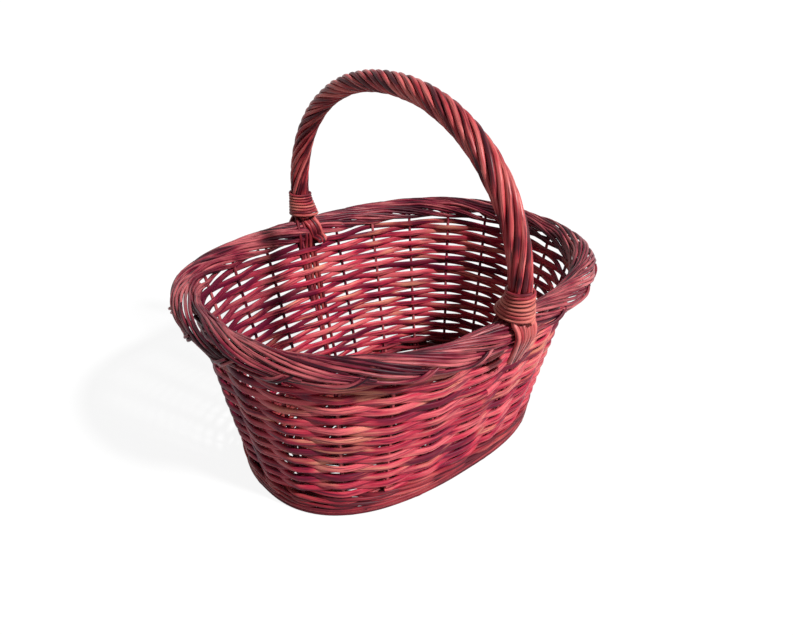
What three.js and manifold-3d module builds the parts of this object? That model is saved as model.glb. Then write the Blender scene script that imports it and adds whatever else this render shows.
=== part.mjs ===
// Mushroom foraging basket of dyed willow, in millimetres, +Z up, its long axis along X.
// The origin is on the floor under the middle of the basket.
// Twenty-three stakes rise from an oval woven base, carry the randed siding and bend over into a
// rolled border. A bow wrapped in ten twisted rods spans the short way and is bound at both feet.

import * as THREE from 'three';
import { mergeVertices } from 'three/addons/utils/BufferGeometryUtils.js';
import Module from 'manifold-3d';

const wasm = await Module();
wasm.setup();

// Overall sizes
const borderLength = 408;
const borderWidth = 319;
const borderHeight = 189.5;
const footLength = 330;
const footWidth = 215;
const handleHeight = 393;
const ovalExponent = 2.5;
const archExponent = 2.1;

// Gaps between pieces that touch
const restClearance = 0.35;
const slotClearance = 0.6;

// Stakes and wall
const stakeCount = 23;
const stakeDiameter = 5;
const stakeFootHeight = 1;
const farShare = 0.25;
const nearShare = 0.75;
const stakeStartShare = farShare + farShare / stakeCount;
const wallInset = 5;

// Siding
const sidingRodCount = 10;
const postsPerSidingRod = 56;
const sidingRodThickness = 5.4;
const sidingStartHeight = 27.5;
const sidingTopGap = 6.5;
const rowGap = 0.8;
const rodEndGapShare = 0.1;

// Upsett wale and foot rod
const waleRodCount = 3;
const waleRodDiameter = 3.8;
const waleHeight = 17.8;
const footRodHeight = 4.4;
const footRodThickness = 5.4;

// Border, where each stake's group of rods rolls over and down to the right
const borderRadius = 14.6;
const borderThickness = 5.2;
const borderRollStart = THREE.MathUtils.degToRad(238);
const borderRollPerStake = THREE.MathUtils.degToRad(47.5);
const borderStakesCrossed = 5.9;
const borderRunGap = 1;
const runStepsPerStake = 2;
const stakeBendRadius = 8;
const stakeBendShare = 0.3;

// Base
const baseCrossStickCount = 5;
const baseCrossStickDiameter = 6;
const baseCrossStickSpacing = 22;
const baseLongStickCount = 3;
const baseLongStickDiameter = 3.4;
const baseLongStickSpacing = 4.2;
const baseWeaverCount = 2;
const baseWeaverThickness = 3.8;
const baseRowPitch = 7;
const baseRowGap = 1.4;
const baseInnerWidth = 34;
const baseWeaveEase = 0.6;
const baseFloorGap = 0.5;

// Handle
const handleRodCount = 10;
const handleTwistInRods = 36;
const handleCoreDiameter = 12;
const handleTailDiameter = 5.2;
const handleFootOutward = 10.5;
const handleFootClearance = 6.3;
const archSpringRise = 13;
const handleTailCrossing = THREE.MathUtils.degToRad(62);
const handleTailInsideShare = 0.6;
const handleTailFootHeight = 26;
const handleRodGap = 0.4;
const handleTwistLeanShare = 0.94;
const handleSteps = 30;
const handleArcDivisionsPerStep = 20;
const handleOuterPairs = 3;
const footBunchGap = 0.9;
const footOuterTurns = [45, 10, -25].map(THREE.MathUtils.degToRad);
const footInnerTurns = [120, 155, 190].map(THREE.MathUtils.degToRad);
const footOuterEndDrop = 29;
const footInnerEndDrop = 40;

// Bindings
const bindingLoops = 6;
const bindingDiameter = 2.7;
const bindingLoopSteps = 24;
const bindingStart = 2;
const bindingFlare = 1.5;
const bindingGap = 0.8;

const fullTurn = 2 * Math.PI;
const up = new THREE.Vector3(0, 0, 1);
const along = new THREE.Vector3(1, 0, 0);

// Finishes: the same red-brown dye, darker on the base and lighter on the bindings
function willow(color, roughness) {
  return new THREE.MeshStandardMaterial({ color, roughness, metalness: 0 });
}

const stakeWillow = willow(0x8a3238, 0.5);
const sidingWillow = willow(0x7c2a30, 0.5);
const waleWillow = willow(0x6d2328, 0.52);
const baseWillow = willow(0x5c2224, 0.6);
const handleWillow = willow(0x7a3029, 0.48);
const coreWillow = willow(0x5a2a22, 0.6);
const bindingWillow = willow(0xa04a40, 0.45);

const basket = new THREE.Group();

function add(name, geometry, material) {
  const mesh = new THREE.Mesh(geometry, material);
  mesh.name = name;
  basket.add(mesh);
}

// An oval of the basket's outline, by its centre line's length and width
class Oval {
  constructor(length, width) {
    this.halfLength = length / 2;
    this.halfWidth = width / 2;
  }

  point(angle) {
    const power = 2 / ovalExponent;
    const x = Math.sign(Math.cos(angle)) * Math.abs(Math.cos(angle)) ** power;
    const y = Math.sign(Math.sin(angle)) * Math.abs(Math.sin(angle)) ** power;
    return new THREE.Vector3(this.halfLength * x, this.halfWidth * y, 0);
  }

  normal(angle) {
    const place = this.point(angle);
    const x = Math.abs(place.x / this.halfLength) ** (ovalExponent - 1) / this.halfLength;
    const y = Math.abs(place.y / this.halfWidth) ** (ovalExponent - 1) / this.halfWidth;
    return new THREE.Vector3(Math.sign(place.x) * x, Math.sign(place.y) * y, 0).normalize();
  }

  angleAtX(x) {
    return Math.acos(Math.sign(x) * Math.min(1, Math.abs(x / this.halfLength)) ** (ovalExponent / 2));
  }

  angleAtY(y) {
    return Math.asin(Math.sign(y) * Math.min(1, Math.abs(y / this.halfWidth)) ** (ovalExponent / 2));
  }
}

const borderOval = new Oval(borderLength, borderWidth);

// The angle on the ovals where a share of the border's perimeter ends
const perimeterSteps = 2880;
const perimeterSums = [0];
for (let i = 1; i <= perimeterSteps; i++) {
  const before = borderOval.point((i - 1) * fullTurn / perimeterSteps);
  const after = borderOval.point(i * fullTurn / perimeterSteps);
  perimeterSums.push(perimeterSums[i - 1] + after.distanceTo(before));
}
const borderPerimeter = perimeterSums[perimeterSteps];

function angleAtShare(share) {
  const target = (share - Math.floor(share)) * borderPerimeter;
  const i = perimeterSums.findIndex((sum) => sum > target);
  const part = (target - perimeterSums[i - 1]) / (perimeterSums[i] - perimeterSums[i - 1]);
  return (i - 1 + part) * fullTurn / perimeterSteps;
}

// The wall's middle surface, which every stake's centre line lies in, flares from floor to border
function wallOval(height) {
  const share = height / borderHeight;
  const length = THREE.MathUtils.lerp(footLength, borderLength - 2 * wallInset, share);
  const width = THREE.MathUtils.lerp(footWidth, borderWidth - 2 * wallInset, share);
  return new Oval(length, width);
}

function wallPoint(share, height, outward) {
  const oval = wallOval(height);
  const angle = angleAtShare(share);
  return oval.point(angle).addScaledVector(oval.normal(angle), outward).setZ(height);
}

// A place in the border, by its turn and distance round the border's own centre line
function borderPoint(share, turn, radius) {
  const angle = angleAtShare(share);
  const place = borderOval.point(angle).addScaledVector(borderOval.normal(angle), radius * Math.cos(turn));
  return place.setZ(borderHeight + radius * Math.sin(turn));
}

function borderDirection(share, turn) {
  return borderPoint(share, turn, borderRadius).sub(borderPoint(share, turn, 0)).normalize();
}

// A rod's route: straight runs through its points. At each point the section has its own
// half height along the given direction and its own half width across it.
class Route extends THREE.Curve {
  constructor(points, halfHeights, halfWidths, directions) {
    super();
    this.points = points;
    this.halfHeights = halfHeights;
    this.halfWidths = halfWidths;
    this.directions = directions;
  }

  getPoint(t, target = new THREE.Vector3()) {
    const step = t * (this.points.length - 1);
    const i = Math.min(Math.floor(step), this.points.length - 2);
    return target.lerpVectors(this.points[i], this.points[i + 1], step - i);
  }

  getTangent(t, target = new THREE.Vector3()) {
    const i = Math.round(t * (this.points.length - 1));
    const before = this.points[Math.max(i - 1, 0)];
    const after = this.points[Math.min(i + 1, this.points.length - 1)];
    target.subVectors(this.points[i], before).normalize();
    return target.add(after.clone().sub(this.points[i]).normalize()).normalize();
  }

  getUtoTmapping(u) {
    return u;
  }

  computeFrenetFrames(steps) {
    const frames = { tangents: [], normals: [], binormals: [] };
    for (let i = 0; i <= steps; i++) {
      const tangent = this.getTangent(i / steps);
      const across = tangent.clone().cross(this.directions[i]).normalize();
      frames.tangents.push(tangent);
      frames.normals.push(across.clone().cross(tangent).multiplyScalar(this.halfHeights[i]));
      frames.binormals.push(across.multiplyScalar(this.halfWidths[i]));
    }
    return frames;
  }
}

// Unit sections: x is along the rod's given direction, y across it
const fourSided = new THREE.Shape([[1, 0], [0, 1], [-1, 0], [0, -1]].map(([x, y]) => new THREE.Vector2(x, y)));
const sixSided = new THREE.Shape(
  [[1, 0.5], [0, 1], [-1, 0.5], [-1, -0.5], [0, -1], [1, -0.5]].map(([x, y]) => new THREE.Vector2(x, y)),
);
const sixSidedFlat = Math.cos(fullTurn / 12);

function rod(section, points, halfHeights, halfWidths, directions) {
  const extrudePath = new Route(points, halfHeights, halfWidths, directions);
  return new THREE.ExtrudeGeometry(section, { steps: points.length - 1, extrudePath, bevelEnabled: false });
}

// A rod of one size all along, with its section's height upright
function evenRod(section, points, halfHeight, halfWidth) {
  const same = (value) => points.map(() => value);
  return rod(section, points, same(halfHeight), same(halfWidth), same(up));
}

function toSolid(geometry) {
  const bare = geometry.clone();
  bare.deleteAttribute('normal');
  bare.deleteAttribute('uv');
  const merged = mergeVertices(bare);
  const vertProperties = merged.attributes.position.array;
  const triVerts = new Uint32Array(merged.index.array);
  return new wasm.Manifold(new wasm.Mesh({ numProp: 3, vertProperties, triVerts }));
}

function toGeometry(solid) {
  const mesh = solid.getMesh();
  const geometry = new THREE.BufferGeometry();
  geometry.setAttribute('position', new THREE.BufferAttribute(mesh.vertProperties, mesh.numProp));
  geometry.setIndex(new THREE.BufferAttribute(mesh.triVerts, 1));
  return geometry;
}

// Posts: what the siding goes round. The stakes stand at even shares of the perimeter, and the
// handle's two tails stand in the middle of the long sides, each beside a stake.
const stakeShares = Array.from({ length: stakeCount }, (_, k) => stakeStartShare + k / stakeCount);
const nearStake = Math.floor((nearShare - stakeStartShare) * stakeCount);
const postsPerTurn = stakeCount + 2;
const stakeSideways = stakeDiameter / 2 + sidingRodThickness / 2 + restClearance;
const tailSideways = handleTailDiameter / 2 + sidingRodThickness / 2 + restClearance;

// Post m of the whole spiral. Its stake number goes on counting past one turn, and as the
// number of stakes is odd, a rod that was outside a stake passes inside it a turn later.
function sidingPost(m) {
  const turn = Math.floor(m / postsPerTurn);
  const place = m - turn * postsPerTurn;
  const isNearTail = place === nearStake + 1;
  const isFarTail = place === postsPerTurn - 1;
  let stake = place > nearStake ? place - 1 : place;
  let share = stakeStartShare + stake / stakeCount;
  let sideways = stakeSideways;
  if (isNearTail) {
    share = nearShare;
    sideways = tailSideways;
  }
  if (isFarTail) {
    stake = stakeCount;
    share = farShare + 1;
    sideways = tailSideways;
  }
  const count = turn * stakeCount + stake;
  return { share: share + turn, side: count % 2 === 0 ? sideways : -sideways };
}

// Heights of the siding: its rows fill the wall from above the wale to below the border
const sidingTurns = sidingRodCount * postsPerSidingRod / postsPerTurn;
const sidingEndHeight = borderHeight - borderRadius - sidingTopGap;
const sidingPitch = (sidingEndHeight - sidingStartHeight) / sidingTurns;
const sidingRodHeight = sidingPitch - rowGap;

function sidingPoint(m) {
  const post = sidingPost(m);
  const height = sidingStartHeight + (post.share - stakeStartShare) * sidingPitch;
  return wallPoint(post.share, height, post.side);
}

for (let i = 0; i < sidingRodCount; i++) {
  const first = i * postsPerSidingRod;
  const last = first + postsPerSidingRod - 1;
  const points = [];
  for (let m = first; m <= last; m++) {
    points.push(sidingPoint(m));
  }
  if (i > 0) {
    points.unshift(sidingPoint(first).lerp(sidingPoint(first - 1), 0.5 - rodEndGapShare));
  }
  points.push(sidingPoint(last).lerp(sidingPoint(last + 1), 0.5 - rodEndGapShare));
  const name = `siding_rod_${String(i + 1).padStart(2, '0')}`;
  add(name, evenRod(fourSided, points, sidingRodHeight / 2, sidingRodThickness / 2), sidingWillow);
}

// Handle centre line: from one foot up over the arch to the other foot, all in the plane x = 0
const rimHalfWidth = borderWidth / 2;
const borderOuterRadius = borderRadius + borderThickness / 2;
const handleSpan = borderWidth + 2 * handleFootOutward;
const handleFootHeight = borderHeight + borderOuterRadius + handleFootClearance;
const archSpringHeight = handleFootHeight + archSpringRise;
const halfStep = fullTurn * handleTwistInRods / handleRodCount / handleSteps / 2;
const rodFit = Math.sin(Math.PI / handleRodCount) * handleTwistLeanShare;
const coreFaceRadius = handleCoreDiameter / 2 + restClearance;
const handleRodDiameter = (2 * coreFaceRadius * rodFit - handleRodGap) / (1 - rodFit);
const handleRodRadius = (coreFaceRadius + handleRodDiameter / 2) / Math.cos(halfStep);
const handleOuterRadius = handleRodRadius + handleRodDiameter / 2;
const archRise = handleHeight - handleOuterRadius - archSpringHeight;

function archPoints(count) {
  const points = [];
  for (let i = 0; i <= count; i++) {
    const angle = Math.PI * i / count;
    const power = 2 / archExponent;
    const y = -Math.sign(Math.cos(angle)) * Math.abs(Math.cos(angle)) ** power * handleSpan / 2;
    const z = archSpringHeight + archRise * Math.abs(Math.sin(angle)) ** power;
    points.push(new THREE.Vector3(0, y, z));
  }
  return points;
}

const handleLine = new THREE.CatmullRomCurve3([
  new THREE.Vector3(0, -handleSpan / 2, handleFootHeight),
  ...archPoints(handleSteps),
  new THREE.Vector3(0, handleSpan / 2, handleFootHeight),
]);
handleLine.arcLengthDivisions = handleSteps * handleArcDivisionsPerStep;

function handlePlace(share, angle, radius) {
  const clamped = Math.min(Math.max(share, 0), 1);
  const tangent = handleLine.getTangentAt(clamped);
  const outward = along.clone().cross(tangent);
  const direction = outward.multiplyScalar(Math.cos(angle)).addScaledVector(along, Math.sin(angle));
  const point = handleLine.getPointAt(clamped).addScaledVector(direction, radius);
  return { point, direction };
}

// A foot's own frame: how far out from the border's centre line, how far along, how high
function footPoint(side, outward, sideways, height) {
  return new THREE.Vector3(sideways, side * (rimHalfWidth + outward), height);
}

function footTurn(side, turn, radius, sideways) {
  return footPoint(side, radius * Math.cos(turn), sideways, borderHeight + radius * Math.sin(turn));
}

function wallOffset(height) {
  return wallOval(height).halfWidth - rimHalfWidth;
}

// The bow: thick inside the twisted rods, thinned to a tail that goes down through the border
// and into the siding beside a stake
function tailRoute(side) {
  const radius = handleTailDiameter / 2;
  const borderFoot = borderHeight - borderRadius;
  const aboveBorder = borderOuterRadius + radius + restClearance;
  return [
    footPoint(side, wallOffset(handleTailFootHeight), 0, handleTailFootHeight),
    footPoint(side, wallOffset(borderFoot), 0, borderFoot),
    footTurn(side, handleTailCrossing, borderRadius * handleTailInsideShare, 0),
    footTurn(side, handleTailCrossing, aboveBorder, 0),
  ];
}

function bowGeometry(growth) {
  const nearTail = tailRoute(-1);
  const farTail = tailRoute(1).reverse();
  const points = [...nearTail];
  for (let i = 0; i <= handleSteps; i++) {
    points.push(handleLine.getPointAt(i / handleSteps));
  }
  points.push(...farTail);
  const isTail = (i) => i < nearTail.length || i >= points.length - farTail.length;
  const radii = points.map((_, i) => (isTail(i) ? handleTailDiameter : handleCoreDiameter) / 2 + growth);
  const flats = radii.map((radius) => radius * sixSidedFlat);
  return rod(sixSided, points, flats, radii, points.map(() => along));
}

add('handle_core', bowGeometry(0), coreWillow);

// Stakes: each stands in the wall, bends over at the top and rolls round the border with the
// rods laid beside it, as one flat group
const borderPitch = borderPerimeter / stakeCount;
const rollArc = borderRadius * borderRollPerStake;
const runWidth = rollArc * Math.cos(Math.atan2(rollArc, borderPitch)) - borderRunGap;
const tailCutter = toSolid(bowGeometry(restClearance));

function stakeGeometry(share) {
  const radius = stakeDiameter / 2;
  const runAt = (crossed) => borderRollStart - borderRollPerStake * crossed;
  const bendTop = borderHeight + borderRadius * Math.sin(borderRollStart);
  const bendShare = stakeBendRadius / borderPerimeter;
  const outward = borderDirection(share, 0);
  const points = [
    wallPoint(share, stakeFootHeight, 0),
    wallPoint(share, bendTop - stakeBendRadius, 0),
    wallPoint(share + bendShare * stakeBendShare, bendTop - stakeBendRadius * stakeBendShare, 0),
  ];
  const halfHeights = points.map(() => radius * sixSidedFlat);
  const halfWidths = points.map(() => radius);
  const directions = points.map(() => outward.clone().negate());
  const runs = [bendShare * stakeCount];
  for (let i = 1; i / runStepsPerStake < borderStakesCrossed; i++) {
    runs.push(i / runStepsPerStake);
  }
  runs.push(borderStakesCrossed);
  for (const crossed of runs) {
    const place = share + crossed / stakeCount;
    const spread = Math.min(1, crossed * runStepsPerStake);
    points.push(borderPoint(place, runAt(crossed), borderRadius));
    halfHeights.push(THREE.MathUtils.lerp(radius * sixSidedFlat, borderThickness / 2, spread));
    halfWidths.push(THREE.MathUtils.lerp(radius, runWidth / 2, spread));
    directions.push(borderDirection(place, runAt(crossed)));
  }
  return rod(sixSided, points, halfHeights, halfWidths, directions);
}

stakeShares.forEach((share, k) => {
  const whole = stakeGeometry(share);
  const cut = toSolid(whole).subtract(tailCutter);
  add(`stake_${String(k + 1).padStart(2, '0')}`, toGeometry(cut), stakeWillow);
});

// Upsett wale: three rods, each outside two stakes and inside the next, over and over. A rod
// coming out passes over the one going in halfway between two stakes.
const waleSpread = 2 * (waleRodDiameter + restClearance);

function walePoint(index, phase) {
  const radius = stakeDiameter / 2 + waleRodDiameter / 2 + restClearance;
  const sides = [-radius, radius, radius];
  const lifts = [0, waleSpread / 2, -waleSpread / 2];
  const stage = (index + phase) % waleRodCount;
  const share = stakeStartShare + index / stakeCount;
  return wallPoint(share, waleHeight + lifts[stage], sides[stage]);
}

for (let phase = 0; phase < waleRodCount; phase++) {
  const points = [];
  for (let index = 0; index < stakeCount; index++) {
    points.push(walePoint(index, phase));
  }
  points.push(walePoint(stakeCount - 1, phase).lerp(walePoint(stakeCount, phase), 0.5));
  const geometry = evenRod(fourSided, points, waleRodDiameter / 2, waleRodDiameter / 2);
  add(`wale_rod_${phase + 1}`, geometry, waleWillow);
}

// Foot rod: lies flat on the floor round the outside of the stakes
const footRodSteps = stakeCount;
const footRodOutward = stakeDiameter / 2 + footRodThickness / 2 + restClearance;
const footRodPoints = [];
for (let i = 0; i < footRodSteps; i++) {
  const share = stakeStartShare + i / footRodSteps;
  footRodPoints.push(wallPoint(share, footRodHeight / 2, footRodOutward));
}
const footRodClose = wallPoint(stakeStartShare, footRodHeight / 2, footRodOutward);
footRodPoints.push(footRodPoints[footRodSteps - 1].clone().lerp(footRodClose, 1 - rodEndGapShare));
add('foot_rod', evenRod(sixSided, footRodPoints, footRodHeight / 2, footRodThickness / 2), waleWillow);

// Base sticks: long ones run through slots in the middle of the cross ones
const weaverSeat = restClearance + baseWeaverThickness / 2 + baseWeaveEase;
const crossSideways = baseCrossStickDiameter / 2 + weaverSeat;
const longSideways = baseLongStickDiameter / 2 + weaverSeat;
const baseHeight = baseFloorGap + crossSideways + baseWeaverThickness / 2;
const baseRowWidth = baseRowPitch - baseRowGap;
const baseOval = wallOval(baseFloorGap);
const stickOval = wallOval(baseHeight - baseCrossStickDiameter / 2);
const baseEdge = stakeDiameter / 2 + restClearance;

function straightStick(from, to, diameter) {
  return evenRod(sixSided, [from, to], diameter / 2 * sixSidedFlat, diameter / 2);
}

const longStickPlaces = Array.from(
  { length: baseLongStickCount },
  (_, i) => (i - (baseLongStickCount - 1) / 2) * baseLongStickSpacing,
);
longStickPlaces.forEach((y, i) => {
  const reach = stickOval.point(stickOval.angleAtY(y)).x - baseEdge;
  const from = new THREE.Vector3(-reach, y, baseHeight);
  const to = new THREE.Vector3(reach, y, baseHeight);
  add(`base_long_stick_${i + 1}`, straightStick(from, to, baseLongStickDiameter), baseWillow);
});

const slotWidth = (baseLongStickCount - 1) * baseLongStickSpacing + baseLongStickDiameter + slotClearance;
const slotHeight = baseLongStickDiameter * sixSidedFlat + slotClearance;
const crossStickPlaces = Array.from(
  { length: baseCrossStickCount },
  (_, i) => (i - (baseCrossStickCount - 1) / 2) * baseCrossStickSpacing,
);
crossStickPlaces.forEach((x, i) => {
  const reach = stickOval.point(stickOval.angleAtX(x)).y - baseEdge;
  const from = new THREE.Vector3(x, -reach, baseHeight);
  const to = new THREE.Vector3(x, reach, baseHeight);
  const slot = new THREE.BoxGeometry(2 * baseCrossStickDiameter, slotWidth, slotHeight);
  slot.translate(x, 0, baseHeight);
  const stick = toSolid(straightStick(from, to, baseCrossStickDiameter)).subtract(toSolid(slot));
  add(`base_cross_stick_${i + 1}`, toGeometry(stick), baseWillow);
});

// Base weavers: two rods chase each other outwards, one over each stick where the other is under
const longGroupEdge = (baseLongStickCount - 1) / 2 * baseLongStickSpacing + baseLongStickDiameter / 2;
const baseOuterInset = baseEdge + baseRowWidth / 2;
const baseInnerInset = baseOval.halfWidth - baseInnerWidth / 2;
const baseTurns = (baseInnerInset - baseOuterInset) / baseRowPitch / baseWeaverCount;

// The posts of half a turn round the base, from the +X end: each gives its angle on a row's oval
const crossPosts = [...crossStickPlaces].reverse();
const bendShares = [1 / 3, 2 / 3];
const longAngle = (oval) => oval.angleAtY(longGroupEdge);
const crossAngle = (oval) => oval.angleAtX(crossPosts[0]);
const bendAngle = (oval, share) => THREE.MathUtils.lerp(longAngle(oval), crossAngle(oval), share);
const basePosts = [
  { over: 0, lift: longSideways, angle: longAngle },
  ...bendShares.map((share) => ({
    over: 0,
    lift: THREE.MathUtils.lerp(longSideways, -crossSideways, share),
    angle: (oval) => bendAngle(oval, share),
  })),
  ...crossPosts.map((x, i) => ({ over: i + 1, lift: crossSideways, angle: (oval) => oval.angleAtX(x) })),
  ...bendShares.map((share) => ({
    over: baseCrossStickCount,
    lift: THREE.MathUtils.lerp(crossSideways, -longSideways, share),
    angle: (oval) => Math.PI - bendAngle(oval, 1 - share),
  })),
  { over: baseCrossStickCount + 1, lift: longSideways, angle: (oval) => Math.PI - longAngle(oval) },
];

function baseWeaverPoint(m, weaver) {
  const half = Math.floor(m / basePosts.length);
  const post = basePosts[m - half * basePosts.length];
  const turns = m / (2 * basePosts.length);
  const inset = baseInnerInset - (baseWeaverCount * turns + weaver) * baseRowPitch;
  const oval = new Oval(2 * (baseOval.halfLength - inset), 2 * (baseOval.halfWidth - inset));
  const isOver = (half * (baseCrossStickCount + 1) + post.over + weaver) % 2 === 0;
  const height = baseHeight + (isOver ? post.lift : -post.lift);
  return oval.point(post.angle(oval) + half * Math.PI).setZ(height);
}

for (let weaver = 0; weaver < baseWeaverCount; weaver++) {
  const points = [];
  const posts = Math.floor((baseTurns - weaver / baseWeaverCount) * 2 * basePosts.length);
  for (let m = 0; m <= posts; m++) {
    points.push(baseWeaverPoint(m, weaver));
  }
  const geometry = evenRod(fourSided, points, baseWeaverThickness / 2, baseRowWidth / 2);
  add(`base_weaver_${weaver + 1}`, geometry, baseWillow);
}

// Handle rods: ten rods twist round the bow, right-handed. At each foot the outer six pass
// over the outside of the border and the inner four down inside the wall.
const bunchPitch = handleRodDiameter + footBunchGap;
const footTurnStep = footOuterTurns[0] - footOuterTurns[1];
const footRodRadius = (borderOuterRadius + restClearance + handleRodDiameter / 2) / Math.cos(footTurnStep / 2);
const footRodFromWall = stakeSideways + sidingRodThickness / 2 + restClearance + handleRodDiameter / 2;

function slotAngle(slot) {
  return (slot + 0.5) * fullTurn / handleRodCount;
}

function footRoute(side, slot) {
  const isLeft = slot < handleRodCount / 2;
  const fromMiddle = isLeft ? slot : handleRodCount - 1 - slot;
  const isOuter = fromMiddle < handleOuterPairs;
  const turns = isOuter ? footOuterTurns : footInnerTurns;
  const order = isOuter ? fromMiddle : handleRodCount / 2 - 1 - fromMiddle;
  const sideways = (isLeft ? 1 : -1) * (order + 0.5) * bunchPitch;
  const drop = isOuter ? footOuterEndDrop : footInnerEndDrop;
  const fromWall = isOuter ? footRodFromWall : -footRodFromWall;
  const route = turns.map((turn) => ({
    point: footTurn(side, turn, footRodRadius, sideways),
    direction: new THREE.Vector3(0, side * Math.cos(turn), Math.sin(turn)),
  }));
  const heights = isOuter ? [borderHeight - drop] : [borderHeight - drop / 2, borderHeight - drop];
  for (const height of heights) {
    route.push({
      point: footPoint(side, wallOffset(height) + fromWall, sideways, height),
      direction: new THREE.Vector3(0, isOuter ? side : -side, 0),
    });
  }
  return route;
}

for (let i = 0; i < handleRodCount; i++) {
  const near = footRoute(-1, i).reverse();
  const far = footRoute(1, (i + handleTwistInRods) % handleRodCount);
  const twisted = [];
  for (let step = 0; step <= handleSteps; step++) {
    const share = step / handleSteps;
    const angle = slotAngle(i + handleTwistInRods * share);
    twisted.push(handlePlace(share, angle, handleRodRadius));
  }
  const stations = [...near, ...twisted, ...far];
  const half = stations.map(() => handleRodDiameter / 2);
  const points = stations.map((station) => station.point);
  const directions = stations.map((station) => station.direction);
  const name = `handle_rod_${String(i + 1).padStart(2, '0')}`;
  add(name, rod(fourSided, points, half, half, directions), handleWillow);
}

// Bindings: a thin rod wound round each foot of the handle, one unbroken tube
const bindingPitch = bindingDiameter + bindingGap;
const bindingRadius = handleOuterRadius + restClearance + bindingDiameter / 2;
const handleLineLength = handleLine.getLength();

function bindingPoints(isFar) {
  const points = [];
  const steps = bindingLoops * bindingLoopSteps;
  const start = (distance) => {
    const share = distance / handleLineLength;
    return isFar ? 1 - share : share;
  };
  for (let i = 0; i <= steps; i++) {
    const loops = i / bindingLoopSteps;
    const flare = bindingFlare * (1 - loops / bindingLoops) ** 2;
    const share = start(bindingStart + loops * bindingPitch);
    points.push(handlePlace(share, loops * fullTurn, bindingRadius + flare).point);
  }
  const lead = points[0].clone().sub(points[1]).setLength(bindingDiameter);
  const tail = points[steps].clone().sub(points[steps - 1]).setLength(bindingDiameter);
  points.unshift(points[0].clone().add(lead));
  points.push(points[steps + 1].clone().add(tail));
  return points;
}

// The least gap of a tube to itself, between points at least half a loop apart
function leastGap(points, diameter) {
  let least = Infinity;
  for (let i = 0; i < points.length; i++) {
    for (let j = i + bindingLoopSteps / 2; j < points.length; j++) {
      least = Math.min(least, points[i].distanceTo(points[j]) - diameter);
    }
  }
  return least;
}

for (const isFar of [false, true]) {
  const name = isFar ? 'binding_far' : 'binding_near';
  const points = bindingPoints(isFar);
  console.log(`${name}: least gap to itself ${leastGap(points, bindingDiameter).toFixed(2)} mm`);
  const radius = bindingDiameter / 2;
  add(name, evenRod(sixSided, points, radius * sixSidedFlat, radius), bindingWillow);
}

export default basket;
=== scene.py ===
"""A mushroom foraging basket of dyed willow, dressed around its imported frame.

Every rod of the basket is swept along its own route as a tapering, slightly uneven willow rod. Each
piece stands for one node of the frame. All sizes are in metres, in the frame's own axes.
"""

import logging
import math
import random
from bisect import bisect_left
from dataclasses import dataclass, field
from enum import Enum
from typing import Callable, Sequence, TypeVar

import bpy
from mathutils import Matrix, Vector, kdtree, noise


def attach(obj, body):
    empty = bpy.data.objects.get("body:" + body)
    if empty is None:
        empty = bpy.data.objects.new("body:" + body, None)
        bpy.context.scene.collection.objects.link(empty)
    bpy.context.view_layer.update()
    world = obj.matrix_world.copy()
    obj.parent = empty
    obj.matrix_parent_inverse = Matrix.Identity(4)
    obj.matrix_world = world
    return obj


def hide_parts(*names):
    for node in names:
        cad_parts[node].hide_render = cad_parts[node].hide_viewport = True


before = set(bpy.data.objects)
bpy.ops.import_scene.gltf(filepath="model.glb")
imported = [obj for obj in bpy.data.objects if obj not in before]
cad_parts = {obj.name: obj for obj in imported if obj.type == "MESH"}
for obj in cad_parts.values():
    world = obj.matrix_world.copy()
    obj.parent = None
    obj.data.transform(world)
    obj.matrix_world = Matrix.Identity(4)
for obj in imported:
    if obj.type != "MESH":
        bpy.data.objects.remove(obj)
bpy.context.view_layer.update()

log = logging.getLogger("basket")

MM = 0.001
FULL_TURN = 2 * math.pi
GOLDEN_TURN = math.radians(137.5)
ALONG = Vector((1, 0, 0))
BODY = "root"

# How far apart the rods' seeds and their places in the noise are drawn
SEED_SPAN = 40
NOISE_SPAN = 50

# Places of the colour sockets on a Mix node, whose names aren't unique
MIX_FACTOR = 0
MIX_FIRST = 6
MIX_SECOND = 7
MIX_RESULT = 2

Value = TypeVar("Value", float, Vector)
Colour = tuple[float, float, float]
Stops = tuple[tuple[float, float], ...]


# Shapes of the basket


@dataclass(frozen=True)
class Oval:
    """A superellipse by its half length, half width and exponent."""

    half_length: float
    half_width: float
    exponent: float = 2.5

    def point(self, angle: float) -> Vector:
        """The point at an angle parameter.

        Args:
            angle: The parameter in radians, from +X towards +Y.

        Returns:
            The point, at height zero.
        """
        power = 2 / self.exponent
        x = math.copysign(abs(math.cos(angle)) ** power, math.cos(angle))
        y = math.copysign(abs(math.sin(angle)) ** power, math.sin(angle))
        return Vector((self.half_length * x, self.half_width * y, 0))

    def normal(self, angle: float) -> Vector:
        """The outward normal at an angle parameter.

        Args:
            angle: The parameter in radians.

        Returns:
            A horizontal unit vector.
        """
        place = self.point(angle)
        x = abs(place.x / self.half_length) ** (self.exponent - 1) / self.half_length
        y = abs(place.y / self.half_width) ** (self.exponent - 1) / self.half_width
        return Vector((math.copysign(x, place.x), math.copysign(y, place.y), 0)).normalized()

    def angle_at_x(self, x: float) -> float:
        """The angle parameter on the +Y half where the oval has a given x."""
        share = min(1, abs(x / self.half_length)) ** (self.exponent / 2)
        return math.acos(math.copysign(share, x))

    def angle_at_y(self, y: float) -> float:
        """The angle parameter on the +X half where the oval has a given y."""
        share = min(1, abs(y / self.half_width)) ** (self.exponent / 2)
        return math.asin(math.copysign(share, y))


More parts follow.
